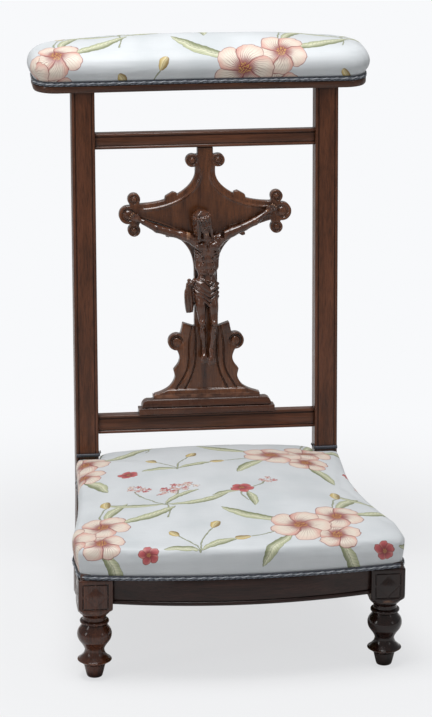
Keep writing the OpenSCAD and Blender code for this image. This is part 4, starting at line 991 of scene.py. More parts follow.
def splatGrid(v):
    half, high = v["half"], v["height"]
    grid = makeGrid((-half - 4, -2, -v["thick"] - 3), (half + 4, high + 4, 8), v["step"] * coarser)
    u, w = grid["axes"][0][:, None], grid["axes"][1][None, :]
    a = np.abs(u)
    flat = outlineDistance(a, w, crossOutline(v))
    sweeps = flat.copy()
    for (cu, cw), r in v["lobes"] + [v["scroll"]]:
        flat = np.minimum(flat, np.hypot(a - cu * half, w - cw * high) - r * half)
    (cu, cw), r = v["lobes"][0]
    flat = np.minimum(flat, np.maximum(a - cu * half, np.abs(w - cw * high) - 0.92 * r * half))
    # Blunt wedges stand on the sweeps
    for (cu, cw), r in v["crockets"]:
        along, off = (a - cu * half) * 0.86 - (w - cw * high) * 0.5, (a - cu * half) * 0.5 + (w - cw * high) * 0.86
        flat = np.minimum(flat, np.maximum(np.abs(along) + 0.9 * np.abs(off) - 2.3 * r * half,
                                           np.abs(off) - r * half))
    # Front face: the sweeps' sunk border with a bead along it
    inner = -sweeps
    onSweep = smoothStep(100, 88, a) * smoothStep(0.50 * high, 0.56 * high, w)
    onSweep = onSweep * smoothStep(0.935 * high, 0.90 * high, w)
    face = -v["borderDrop"] * smoothStep(v["border"], v["border"] - 1.2, inner) * onSweep
    face = face + v["beadRise"] * ridge(inner - v["border"] - v["bead"], v["bead"]) * onSweep
    for (cu, cw), r in v["lobes"]:
        d = np.hypot(a - cu * half, w - cw * high)
        face = face - v["ringDepth"] * ridge(d - v["ringShare"] * r * half, 1.7)
        face = face + 1.6 * ridge(d, 0.42 * r * half) * (d < r * half)
    (cu, cw), r = v["scroll"]
    d = np.hypot(a - cu * half, w - cw * high)
    turn = np.arctan2(w - cw * high, a - cu * half)
    rim, eye = r * half - v["scrollRim"], v["eyeShare"] * r * half
    sunk = smoothStep(rim + 0.5, rim - 0.9, d) * smoothStep(eye - 0.5, eye + 0.9, d)
    face = face - v["scrollDepth"] * sunk * (0.5 + 0.5 * np.tanh(3 * np.cos(turn - 1.0) + 2.2))
    face = face + 1.2 * ridge(d, eye) * (d < eye + 1)
    for line in (v["innerLine"], v["outerLine"]):
        curve = spline(line, 6)
        fade = smoothStep(v["torusTop"] - 4, v["torusTop"] + 2, w)
        face = face - v["lineDepth"] * ridge(lineDistance(a, w, curve), v["lineWidth"]) * fade
    between = lineDistance(a, w, spline([((p[0] + q[0]) / 2, (p[1] + q[1]) / 2)
                                         for p, q in zip(v["innerLine"], v["outerLine"])], 6))
    rise = 1.7 * ridge(between, 4.5) * smoothStep(v["torusTop"] - 2, v["torusTop"] + 8, w)
    face = face + rise * smoothStep(140, 125, w)
    # The ears lean forward to their tips, and a torus runs across the foot
    face = face + 2.0 * smoothStep(17, 34, a) * smoothStep(116, 128, w) * (w < 150)
    middle = (v["torusFoot"] + v["torusTop"]) / 2
    torus = v["torusRise"] * ridge(w - middle, (v["torusTop"] - v["torusFoot"]) / 2)
    face = np.where((w > v["torusFoot"]) & (w < v["torusTop"]), np.maximum(face, torus), face)
    face = np.where(w <= v["torusFoot"], 1.5, face)
    f = grid["axes"][2][None, None, :]
    side, front = flat[:, :, None], (f - face[:, :, None]) * 0.86
    r = v["edge"]
    worn = np.minimum(np.maximum(side, front) + r, 0) - r + np.hypot(np.maximum(side + r, 0),
                                                                     np.maximum(front + r, 0))
    grid["field"] = np.maximum(worn, -v["thick"] - f).astype(np.float32)
    stem = np.maximum(np.maximum(a - 0.09 * half, w - high - 3), high - 12 - w)[:, :, None]
    tenon = np.maximum(stem, np.maximum(f + 3.25, -9.75 - f))
    grid["field"] = np.minimum(grid["field"], tenon).astype(np.float32)
    return grid


splatPiece = gridPiece("splat_panel_carved", [splatGrid(splat)], panelFrame(), finish["carved"])
ride(splatPiece, "carved_wood", "splat_panel")
print("splat carved:", len(splatPiece.data.polygons), "faces")

# The plinth under the splat: a fillet, an ovolo and a second fillet, returned at both ends

plinth = {"step": 0.8, "half": 102, "foot": 10.44, "ovoloTop": 22, "top": 29, "out": 9, "thick": 13, "ovoloOut": 15}


def plinthGrid(v):
    grid = makeGrid((-v["half"] - 4, -3, -v["thick"] - 3), (v["half"] + 4, v["top"] + 3, v["out"] + 4),
                    v["step"] * (1))
    u, w, f = crossed(grid["axes"])
    a = np.abs(u)
    # The profile says how far each height stands in from the foot, at the front and at the ends
    level = w + 0 * u + 0 * f
    climb = np.clip((level - v["foot"]) / (v["ovoloTop"] - v["foot"]), 0, 1)
    curve = 1 - np.sqrt(np.clip(1 - climb ** 2, 0, 1))
    frontIn = np.where(level < v["foot"], 0, 1.6 + 2.0 * curve)
    endIn = np.where(level < v["foot"], 0, 4.5 + (v["ovoloOut"] - 4.5) * curve * 0.9)
    frontIn = np.where(level > v["ovoloTop"], 4.5, frontIn)
    endIn = np.where(level > v["ovoloTop"], 22, endIn)
    box = np.maximum(np.maximum(a - v["half"] + endIn, f - v["out"] + frontIn), np.maximum(-v["thick"] - f, -w))
    body = np.maximum(box, w - v["top"])
    quirk = np.maximum(np.abs(w - v["foot"] - 0.2) - 0.7, -(box + 2.2))
    body = np.maximum(body, -quirk)
    # The panel's own foot passes behind
    panel = np.maximum(np.maximum(a - 78.3, f - 1.7), 10.0 - w)
    grid["field"] = np.maximum(body * 0.9, -panel).astype(np.float32)
    return grid


plinthPiece = gridPiece("splat_plinth_moulded", [plinthGrid(plinth)], panelFrame(), finish["moulded"])
ride(plinthPiece, "carved_wood", "splat_plinth")
print("plinth moulded")

# The figure. Places are (across, up from the lower rail, forward of the panel's face).

figure = {
    "bodyStep": 0.6, "armStep": 0.55, "headStep": 0.4, "shoulder": 25.6, "neck": 268.0,
    "headPlace": (-7.0, 294.5, 23.5), "headLean": 13, "headYaw": 16, "headBow": 10,
}


def torsoForms():
    made = [(ball((1.5, 248, 10.5), (18.4, 19, 10.4)), 0),
            (ball((0.5, 223, 10), (15.4, 18, 8.6)), 6),
            (ball((-1.0, 198, 10), (16.8, 15, 9.6)), 7)]
    for s in (-1, 1):
        made += [(ball((1.5 + s * 8.8, 256, 18.2), (9.2, 6.8, 5.6)), 2),
                 (ball((0.5 + s * 17.5, 261.5, 12), (7.2, 6.8, 6.6)), 5),
                 (limb((0.5 + s * 2, 270, 14), (0.5 + s * 15, 266, 12), 3.4, 4.0), 4),
                 (limb((0.5 + s * 14, 250, 7), (0.5 + s * 13.6, 224, 8), 5, 4), 4)]
    # Belly muscles, in three pairs, then the neck and the hollows down the middle
    for s in (-1, 1):
        made += [(ball((0.8 + s * 4.6, up, 17.4 - k * 0.2), (5.6, 5.0, 3.1)), 2.4)
                 for k, up in enumerate((236.5, 227, 217))]
    made += [(limb((0.5, 264, 13), (-5.0, 284, 18), 6.6, 5.8), 4),
             (limb((1.5, 263, 20.6), (1.2, 247, 21.6), 0.7, 1.1), 2.2, "cut"),
             (limb((0.8, 243, 20.6), (0.4, 212, 18.8), 0.6, 0.9), 2.2, "cut")]
    for s in (-1, 1):
        made += [(limb((1 + s * 2.5, 244, 21), (1 + s * 12.5, 231, 16), 1.1, 1.1), 2.8, "cut"),
                 (limb((0.8 + s * 6.5, 238, 17.5), (0.8 + s * 4.5, 212, 17), 0.6, 0.5), 2.6, "cut")]
        for k in range(4):
            up = 249 - 5.2 * k
            made.append((limb((1 + s * 10, up - 1, 18.5), (1 + s * 18, up + 3.5, 11.5), 0.7, 0.7), 2.2, "cut"))
    return made + [(ball((0.5, 213.5, 18.6), (1.2, 1.7, 1.6)), 1.5, "cut")]


def legForms():
    made = []
    for places in (((-10.5, 182, 12.5), (-8.0, 141, 21), (-4.2, 101, 12), (-4.2, 96, 9), (-5.2, 81, 19.5)),
                   ((8.0, 182, 12.5), (9.8, 140, 22), (5.2, 101, 15), (5.4, 96, 11), (5.4, 79, 21.5))):
        hip, knee, ankle, heel, toe = (np.array(p, float) for p in places)
        calf = knee * 0.64 + ankle * 0.36 + (0, 0, -2.0)
        made += [(limb(hip, knee, 9.2, 5.2), 1),
                 (ball(hip * 0.6 + knee * 0.4 + (0, 0, 3.4), (7.4, 16, 6.4)), 1.5),
                 (ball(knee + (0, 1, 2.4), (5.0, 5.0, 4.8)), 1.0),
                 (limb(knee + (0, -4, -1), ankle, 4.6, 2.9), 1),
                 (ball(calf, (5.6, 12, 5.8)), 1.5),
                 (limb(knee + (0, -8, 3.8), ankle + (0, 3, 2.6), 0.8, 0.7), 2.4),
                 (ball(heel, (3.2, 4.0, 4.0)), 1.5),
                 (limb(ankle + (0, -2, 1), toe + (0, 5, 0), 3.8, 3.6), 1.5),
                 (ball(toe + (0, 5, 0), (5.8, 7.0, 4.2)), 1.5)]
        for k in range(5):
            spread = (k - 2) * 2.0
            length = 3.4 - 0.45 * abs(k - 1)
            made.append((limb(toe + (spread, 2.6, 1.0), toe + (spread * 1.12, 2.6 - length, 1.8), 1.4, 1.15), 0.4))
    return made


# The wrap: slanting folds that meet low on the right, a knot at the left hip and its hanging end
def wrapForms():
    body, low, high = ball((-1.4, 185, 11.5), (18.4, 24, 12.4))
    upper = ball((-1.4, 196, 11), (17.6, 15, 11.4))[0]

    def wrapped(u, w, f):
        along = w + 0.72 * np.minimum(u, 3) - 0.7 * np.maximum(u - 3, 0)
        fold = np.abs(np.sin(math.pi * (along + 0.8 * np.sin(u * 0.33)) / 6.2))
        deep = 2.4 * (1 - fold) ** 1.4 - 1.0
        d = np.minimum(body(u, w, f), upper(u, w, f)) + deep
        top = w - 206 + 0.2 * (u + 1.4)
        hem = 162.5 + 0.62 * np.abs(u - 2) - w
        return np.maximum(np.maximum(d, top * 0.9), hem * 0.85)

    tail, lowT, highT = ball((-26.0, 177, 10.5), (7.8, 27, 6.4))

    def hanging(u, w, f):
        pleat = np.abs(np.sin(math.pi * (u + 0.10 * (w - 150)) / 4.6))
        slope = w - 156 - 0.10 * (u + 24)
        return np.maximum(tail(u, w, f) + 1.2 * (1 - pleat) - 0.3, -slope)
    made = [((wrapped, low, high + (0, 6, 0)), 1.2), ((hanging, lowT, highT), 1.5)]
    # Rolled folds that slant down from the knot and back up to the right hip
    for drop in (0, 6.5, 13, 19):
        roll = [(-19, 206 - drop * 0.7, 13), (-10, 199.5 - drop, 20.6), (3, 190 - drop * 1.15, 24.2),
                (10, 193.5 - drop * 1.1, 21.2), (16, 199 - drop, 14)]
        made += [(limb(a, b, 2.3, 2.3), 0.6) for a, b in zip(roll[:-1], roll[1:])]
    made += [(ball((-23.5, 200, 14.5), (5.0, 4.4, 4.6)), 0.8), (ball((-20.0, 204, 15.5), (3.6, 2.8, 3.4)), 0.8),
             (ball((-26.5, 204.4, 13), (3.2, 3.2, 2.8)), 0.8)]
    return made


armPaths = {
    -1: {"bones": [(-18, 265.5, 12), (-37, 273, 12), (-53, 277, 11.5), (-73, 283, 10), (-92.5, 293, 8)],
         "palm": (-103.0, 298.6, 5.2), "turn": 31},
    1: {"bones": [(18.5, 266, 12), (39.5, 276.5, 12), (56, 283, 11.5), (72, 290.5, 10), (86, 300, 8)],
        "palm": (94.5, 306.2, 5.2), "turn": 37},
    "radii": [8.0, 6.6, 5.8, 5.6, 4.0],  # from the shoulder to the wrist
}


def armForms(side):
    path, radii = armPaths[side], armPaths["radii"]
    bones = [np.array(p, float) for p in path["bones"]]
    made = [(limb(bones[k], bones[k + 1], radii[k], radii[k + 1]), 3.0) for k in range(len(bones) - 1)]
    run = (bones[2] - bones[1]) / np.linalg.norm(bones[2] - bones[1])
    slope = Euler((0, 0, math.atan2(side * run[1], side * run[0]))).to_matrix()
    made += [(ball(bones[0] * 0.35 + bones[1] * 0.65 + (0, 1.6, 1.8), (10, 4.4, 4.0), slope), 3.0),
             (ball(bones[0] * 0.3 + bones[1] * 0.7 + (0, -2.6, 0), (9, 3.4, 4.2), slope), 3.0),
             (ball(bones[2] * 0.62 + bones[3] * 0.38 + (0, 1.4, 1.0), (9.5, 3.4, 3.6), slope), 3.0),
             (ball(bones[2] * 0.5 + bones[3] * 0.5 + (0, -1.8, 0), (9, 2.6, 3.2), slope), 2.5),
             (limb(bones[1] + (side * 4, 0.4, 3.8), bones[3] + (0, 0.2, 3.2), 0.4, 0.4), 1.8, "cut")]
    palm, turn = np.array(path["palm"], float), math.radians(path["turn"])
    out = np.array([side * math.cos(turn), math.sin(turn), 0])
    acrossHand = np.array([-side * math.sin(turn), math.cos(turn), 0])
    hand = Euler((0, 0, side * turn)).to_matrix()
    made += [(limb(bones[-1], palm, 3.4, 3.2), 2.0), (ball(palm, (6.4, 5.6, 3.2), hand), 1.5)]
    for k in range(4):
        base = palm + out * 4.0 + acrossHand * (k - 1.5) * 2.7
        length = (6.0, 7.2, 6.8, 5.2)[k]
        mid = base + out * length * 0.55 + (0, 0, 1.4)
        tip = mid + out * length * 0.35 + acrossHand * (k - 1.5) * 0.35 + (0, 0, 2.0)
        made += [(limb(base, mid, 1.6, 1.45), 0.4), (limb(mid, tip, 1.45, 1.2), 0.4)]
    thumb = palm + acrossHand * 3.6 - out * 0.5
    return made + [(limb(thumb, thumb + acrossHand * 3.0 + out * 2.6 + (0, 0, 1.6), 1.35, 1.05), 0.6)]


def headForms(v):
    lean, yaw, bow = (math.radians(v[k]) for k in ("headLean", "headYaw", "headBow"))
    turn = Matrix.Rotation(lean, 3, "Z") @ Matrix.Rotation(yaw, 3, "Y") @ Matrix.Rotation(bow, 3, "X")
    turn = np.array(turn)
    place = np.array(v["headPlace"], float)

    def at(x, y, z):
        return turn @ np.array([x, y, z], float) + place

    def bump(centre, radii, blend, *cut):
        return (ball(at(*centre), radii, turn), blend, *cut)

    def bar(a, b, r0, r1, blend, *cut):
        return (limb(at(*a), at(*b), r0, r1), blend, *cut)
    made = [bump((0, 5.2, -2.6), (10.8, 12.8, 12.0), 0), bump((0, -4.2, 2.4), (7.7, 11.2, 8.6), 3),
            bump((0, -12.4, 4.2), (5.8, 4.8, 4.8), 3), bar((-4.6, 2.4, 9.4), (4.6, 2.4, 9.4), 1.3, 1.3, 2),
            bar((0, -10, -2), (0, -19, -8), 6.2, 6.6, 3)]
    for s in (-1, 1):
        made += [bump((s * 8.8, -5.0, 0.4), (3.6, 17, 6.6), 1.5)]
    for s in (-1, 1):
        made += [bump((s * 3.7, 0.2, 11.4), (2.5, 1.7, 1.7), 1.2, "cut"),
                 bump((s * 3.6, -0.3, 8.9), (2.0, 1.4, 1.5), 0.5),
                 bar((s * 1.9, -0.9, 9.9), (s * 5.4, -0.9, 8.9), 0.28, 0.28, 0.5, "cut"),
                 bump((s * 4.7, -4.4, 8.3), (2.7, 2.9, 2.2), 2.2)]
    made += [bar((0, 1.6, 10.2), (0, -4.2, 13.0), 0.95, 1.45, 1.4), bump((0, -4.8, 12.4), (1.9, 1.2, 1.5), 0.8)]
    for s in (-1, 1):
        made += [bump((s * 1.5, -5.0, 11.6), (1.0, 0.9, 1.1), 0.6),
                 bar((0, -7.3, 11.3), (s * 2.5, -7.8, 10.4), 0.65, 0.4, 0.5),
                 bar((0, -9.1, 10.9), (s * 2.0, -8.7, 10.2), 0.8, 0.5, 0.5)]
    # Moustache and a short parted beard, in locks
    for s in (-1, 1):
        made += [bar((s * 0.5, -6.5, 11.9), (s * 3.4, -8.4, 10.7), 0.8, 0.75, 0.4),
                 bar((s * 3.4, -8.4, 10.7), (s * 4.6, -11.8, 9.2), 0.75, 0.5, 0.4)]
        for k in range(4):
            x = s * (0.9 + 1.7 * k)
            bend = (x * 0.86 + s * 0.3, -15.6 + 0.7 * k, 9.4 - 1.1 * k)
            made += [bar((x, -11.3 + 0.9 * k, 9.6 - 1.25 * k), bend, 1.2, 1.1, 0.5),
                     bar(bend, (x * 0.6 + s * 0.9, -19.0 + 1.7 * k, 10.0 - k), 1.1, 0.5, 0.4)]
    # Hair: parted in the middle, falling in long waved locks to the shoulders
    for s in (-1, 1):
        for k in range(6):
            back, wide, odd = -2.2 * k, s * (1.0 + 0.035 * k), k % 2
            path = [(s * 0.8, 16.6 - 0.25 * k, 2.4 + back), (7.2 * wide, 12.4, 4.0 + back),
                    (9.4 * wide, 4.6, 5.0 + back), (10.2 * wide, -2.5, 4.2 + back),
                    ((9.6 + 0.5 * odd) * wide, -9.5, 4.0 + back),
                    ((11.0 - 0.4 * odd) * wide, -16.0, 2.8 + back * 0.8),
                    (9.6 * wide, -22.5, 2.6 + back * 0.55), (10.8 * wide, -28.0, 2.2 + back * 0.35)]
            sizes = [1.7, 2.1, 2.2, 2.2, 2.3, 2.2, 1.9, 1.1]
            made += [bar(a, b, r0, r1, 0.7) for a, b, r0, r1 in zip(path[:-1], path[1:], sizes[:-1], sizes[1:])]
    for k in range(5):
        x = (k - 2) * 3.6
        made += [bar((x * 0.5, 12.4, -8), (x, 0, -12.8), 3.0, 3.0, 1.0),
                 bar((x, 0, -12.8), (x * 1.1, -18, -9), 3.0, 2.2, 1.0)]
    # Crown: three plied stems round the brow, with short thorns
    steps = 44
    for strand in range(3):
        ring = []
        for k in range(steps + 1):
            a = 2 * math.pi * k / steps
            ply = 2 * math.pi * (5 * k / steps + strand / 3)
            r = 1.0 + 0.12 * math.cos(ply)
            ring.append((11.4 * r * math.sin(a), 7.8 + 2.0 * math.sin(ply) - 0.8 * math.cos(a),
                         11.8 * r * math.cos(a) - 2.2))
        made += [bar(a, b, 1.7, 1.7, 0.15) for a, b in zip(ring[:-1], ring[1:])]
    for k in range(11):
        a = 2 * math.pi * (k + 0.5 * (k % 3) / 3) / 11
        rise = (2.6, -1.2, 1.0)[k % 3]
        start = np.array((12.2 * math.sin(a), 7.6, 12.9 * math.cos(a) - 1.4))
        tip = start + (3.0 * math.sin(a + 0.5), rise, 3.0 * math.cos(a + 0.5))
        made.append(bar(start, tip, 0.95, 0.25, 0.3))
    return made


def fillGrid(low, high, step, forms):
    grid = makeGrid(low, high, step * coarser)
    for form, blend, *cut in forms:
        shape(grid, form, blend, cut)
    return grid


# Keeps the side of the grid where sign * (place - limit) is above 0
def keepBeyond(grid, axis, limit, sign):
    place = grid["axes"][axis].reshape([-1 if k == axis else 1 for k in range(3)])
    grid["field"] = np.maximum(grid["field"], sign * (limit - place)).astype(np.float32)


def carveFigure(v):
    joints = armForms(-1) + armForms(1)
    head = headForms(v)
    whole = torsoForms() + legForms() + wrapForms()
    body = fillGrid((-38, 62, -1), (34, v["neck"] + 3, 34), v["bodyStep"], whole + joints + head)
    keepBeyond(body, 1, v["neck"], -1)
    keepBeyond(body, 0, v["shoulder"], -1)
    # The shoulder's joint is cut on the left side above the wrap only
    u, w, _ = crossed(body["axes"])
    arm = (w > 240) & (u < -v["shoulder"] + 0 * w)
    body["field"] = np.where(arm, np.maximum(body["field"], -v["shoulder"] - u), body["field"]).astype(np.float32)
    keepBeyond(body, 2, 0.1, 1)
    top = fillGrid((-30, v["neck"] - 3, -1), (20, 318, 44), v["headStep"], torsoForms() + joints + head)
    keepBeyond(top, 1, v["neck"], 1)
    keepBeyond(top, 2, 0.1, 1)
    piece = gridPiece("corpus_body_carved", [body, top], panelFrame(), finish["figure"])
    ride(piece, "carved_wood", "corpus_body")
    for side, node in ((-1, "corpus_arm_left"), (1, "corpus_arm_right")):
        low = (-122, 254, -1) if side < 0 else (v["shoulder"] - 2, 254, -1)
        high = (-v["shoulder"] + 2, 312, 24) if side < 0 else (112, 320, 24)
        grid = fillGrid(low, high, v["armStep"], torsoForms() + armForms(side))
        keepBeyond(grid, 0, side * (v["shoulder"] + 0.1), side)
        keepBeyond(grid, 2, 0.1, 1)
        arm = gridPiece(node + "_carved", [grid], panelFrame(), finish["figure"])
        ride(arm, "carved_wood", node)


carveFigure(figure)
print("figure carved")

# Plans of the seat and the armrest: across, back, and a share of how far padding may bulge there

seatPlan = {"postOut": 197, "postIn": 163, "legOut": 229, "legHalf": 205, "blockHalf": 24, "legToPost": 391,
            "flareStart": 289.34, "flareEnd": 44.97, "flarePower": 1.8, "skew": 6, "bow": 18, "corner": 18,
            "back": 415, "fit": 0.3, "spacing": 6}
armPlan = {"half": 246.5, "front": 427.92, "back": 552.92, "frontRadius": 33, "rearRadius": 55, "wave": 3,
           "toLeft": 5, "spacing": 6}


def sideX(y, side, v=seatPlan):
    u = np.clip((v["flareStart"] - y) / (v["flareStart"] - v["flareEnd"]), 0, 1)
    return (v["postOut"] + (v["legOut"] - v["postOut"]) * u ** v["flarePower"]
            - side * v["skew"] * np.sin(math.pi * np.clip(y / v["legToPost"], 0, 1)))


def bowY(x, v=seatPlan):
    return -v["blockHalf"] - v["bow"] * (1 - x * x / v["legHalf"] ** 2)


# Points along straight stretches, so that none is longer than spacing
def spaced(points, spacing):
    made = []
    for a, b in zip(points[:-1], points[1:]):
        a, b = np.asarray(a, float), np.asarray(b, float)
        n = max(1, int(np.hypot(*(b - a)[:2]) / spacing))
        made += [a + (b - a) * k / n for k in range(n)]
    return made + [np.asarray(points[-1], float)]


def halfSeat(side, v=seatPlan):
    cornerX = v["legOut"] - v["corner"]
    low = bowY(cornerX)
    third = v["corner"] / 3
    bow = [(x, bowY(x), 1) for x in np.linspace(0, cornerX, 30)[:-1]]
    turn = [(p[0], p[1], 1) for p in bezier((cornerX, low), (v["legOut"] - third, low), (v["legOut"], low + third),
                                            (v["legOut"], low + v["corner"]), 8)]
    run = [(float(sideX(y, side)), y, 1) for y in np.linspace(low + v["corner"], 382.5, 56)[1:]]
    post = v["legToPost"] - v["fit"]
    inner = v["postIn"] - v["fit"]
    notch = [(v["postOut"], post, 0.3), (180, post, 0), (inner, post, 0), (inner, 408.3, 0), (159.7, 412.5, 0),
             (153, v["back"], 0.3), (81.5, v["back"], 1), (0, v["back"], 1)]
    return bow + turn + run + spaced(notch, v["spacing"])


def halfArm(v=armPlan):
    frontX, rearX = v["half"] - v["frontRadius"], v["half"] - v["rearRadius"]
    made = [(x, v["front"] + v["wave"] * math.cos(math.pi / 2 * x / frontX) ** 2, 1)
            for x in np.linspace(0, frontX, 30)[:-1]]
    for x, y, r, start in ((frontX, v["front"] + v["frontRadius"], v["frontRadius"], -90),
                           (rearX, v["back"] - v["rearRadius"], v["rearRadius"], 0)):
        angles = np.radians(np.linspace(start, start + 90, 12))
        made += [(x + r * math.cos(a), y + r * math.sin(a), 1) for a in angles]
    return made + [(x, v["back"], 1) for x in np.linspace(rearX, 0, 30)[1:]]


def wholePlan(right, left):
    return np.array(right + [(-x, y, b) for x, y, b in left[-2:0:-1]], float)


# A plan moved outward, or inward where grow is negative
def grown(plan, grow):
    tangent = np.roll(plan, -1, axis=0)[:, :2] - np.roll(plan, 1, axis=0)[:, :2]
    tangent /= np.maximum(np.linalg.norm(tangent, axis=1), 1e-9)[:, None]
    step = (grow * plan[:, 2] if grow > 0 else np.full(len(plan), grow))[:, None]
    moved = plan.copy()
    moved[:, :2] += step * np.stack([tangent[:, 1], -tangent[:, 0]], axis=1)
    return moved


seatOutline = wholePlan(halfSeat(1), halfSeat(-1))
armOutline = wholePlan(halfArm(), halfArm()) - (armPlan["toLeft"], 0, 0)

# Cushions. Heights are above the edge that the cover is tacked to.

seatPad = {
    "base": 151, "tack": 8.5, "height": 41, "bulge": 3, "roll": 13, "crown": 15, "backShare": 0.72,
    "middleShare": 0.3,
    "centre": (0, 199.2), "half": (229, 228.5), "voxel": 5, "stiff": 120, "start": 1, "cap": 2, "sink": 0.6,
    "thick": 1.5, "pin": 16, "cut": (0, 60),
    "pleat": 62, "pleatDepth": 1.2, "dent": 0.7,
}
armPad = {
    "base": 745.5, "tack": 8.5, "height": 41, "bulge": 7, "roll": 26, "crown": 13, "backShare": 1, "middleShare": 1,
    "centre": (-5, 490.4), "half": (246.5, 62.5), "voxel": 4.5, "stiff": 40, "start": 1, "cap": 3, "sink": 0.6,
    "thick": 1.5, "pin": 16, "cut": (30, -330),
    "pleat": 45, "pleatDepth": 0.8, "dent": 0.5,
}


# The pad is lower at the back, less so midway between the posts
def backwardShare(x, y, plan, v):
    front, back = plan[0][1], plan[:, 1].max()
    side = np.minimum(np.abs(x) / seatPlan["postIn"], 1) ** 2
    least = v["middleShare"] + (1 - v["middleShare"]) * side
    return 1 - (1 - v["backShare"]) * (y - front) / (back - front) * least


def inset(plan, v, d):
    made = plan.copy()
    for k in range(2):
        made[:, k] = v["centre"][k] + (plan[:, k] - v["centre"][k]) * (1 - d / v["half"][k])
    return made


# Rings of a pad from its tacked edge up the drawn-in side, round the top edge and in to the middle
def padRings(plan, v, skin, bottom):
    tack, high, roll = v["tack"], v["height"], v["roll"]
    sides = [(-1 - skin, bottom, 0), (-1 - skin, tack, 0)]
    sides += [((v["bulge"] + 1) * math.sin(math.radians(15 * i)) - 1 - skin,
               tack + (high - roll - skin / 2) * i / 6, 0) for i in range(1, 7)]
    sides += [(v["bulge"] - skin, tack + high - roll + (roll - skin) * math.sin(math.radians(a)),
               roll * (1 - math.cos(math.radians(a)))) for a in range(15, 91, 15)]
    rim = tack + high - skin
    rings = []
    for outward, up, inward in sides:
        ring = inset(grown(plan, outward), v, inward)
        share = backwardShare(ring[:, 0], ring[:, 1], plan, v) if up > tack else 1
        z = v["base"] + (tack + (up - tack) * share if up > tack else up + 0 * ring[:, 1])
        rings.append(np.column_stack([ring[:, :2], z + 0 * ring[:, 1]]))
    top = inset(grown(plan, v["bulge"] - skin), v, roll)
    for c in np.linspace(0.94, 0.06, 18):
        ring = top.copy()
        for k in range(2):
            ring[:, k] = v["centre"][k] + (top[:, k] - v["centre"][k]) * c
        share = backwardShare(ring[:, 0], ring[:, 1], plan, v)
        z = v["base"] + tack + (rim - tack) * share + v["crown"] * (1 - c * c)
        rings.append(np.column_stack([ring[:, :2], z]))
    return rings


def padForm(name, plan, v, skin, bottom, material):
    rings = padRings(plan, v, skin, bottom)
    n = len(plan)
    points = np.concatenate(rings)
    points[:, :2] += planPlace
    faces = ringFaces(len(rings), n) + [tuple(range(n - 1, -1, -1))]
    last = (len(rings) - 1) * n
    faces.append(tuple(last + i for i in range(n)))
    return newPiece(name, points, faces, material)


air = {"quality": 8, "mass": 0.4, "bending": 3, "pressure": 4, "frames": 20}


# Air pressure swells the pad against its tacked edge; no point may move further than the cap
def swell(piece, v, pinBelow):
    start = pointsOf(piece)
    held = piece.vertex_groups.new(name="tacked")
    held.add([int(i) for i in np.nonzero(start[:, 2] < pinBelow)[0]], 1.0, "REPLACE")
    cloth = piece.modifiers.new("cloth", "CLOTH")
    cloth.settings.quality = air["quality"]
    cloth.settings.mass = air["mass"]
    cloth.settings.tension_stiffness = v["stiff"]
    cloth.settings.compression_stiffness = v["stiff"]
    cloth.settings.shear_stiffness = v["stiff"] / 2
    cloth.settings.bending_stiffness = air["bending"]
    cloth.settings.use_pressure = True
    cloth.settings.uniform_pressure_force = air["pressure"]
    cloth.settings.vertex_group_mass = held.name
    cloth.settings.effector_weights.gravity = 0
    cloth.collision_settings.use_collision = False
    for at in range(air["frames"]):
        bpy.context.scene.frame_set(at + 1)
    graph = bpy.context.evaluated_depsgraph_get()
    moved = pointsOf(piece.evaluated_get(graph)) - start
    outward = np.zeros(len(start) * 3, np.float32)
    piece.data.vertex_normals.foreach_get("vector", outward)
    outward = outward.reshape(-1, 3).astype(float)
    along = (moved * outward).sum(1)
    print(piece.name, "swelled by up to", round(float(along.max()), 1), "mm")
    moved += outward * (np.maximum(along, -v["sink"]) - along)[:, None]  # the stuffing holds the cloth out
    far = np.linalg.norm(moved, axis=1)
    moved *= (v["cap"] / np.maximum(far, v["cap"]))[:, None]
    piece.modifiers.clear()
    bpy.context.scene.frame_set(1)
    movePoints(piece, start + moved)


# Where each point of a plan view lies against a closed line: nearest point, distance and direction
def nearestOn(line, points):
    a, b = line, np.roll(line, -1, axis=0)
    run = b - a
    length = np.maximum((run ** 2).sum(1), 1e-9)
    foot, reach = np.zeros((len(points), 2)), np.zeros(len(points))
    for at in range(0, len(points), 4000):
        p = points[at:at + 4000]
        t = np.clip(((p[:, None] - a) * run).sum(2) / length, 0, 1)
        spots = a + run * t[:, :, None]
        d = np.linalg.norm(p[:, None] - spots, axis=2)
        best = d.argmin(1)
        foot[at:at + 4000] = spots[np.arange(len(p)), best]
        reach[at:at + 4000] = d[np.arange(len(p)), best]
    return foot, reach


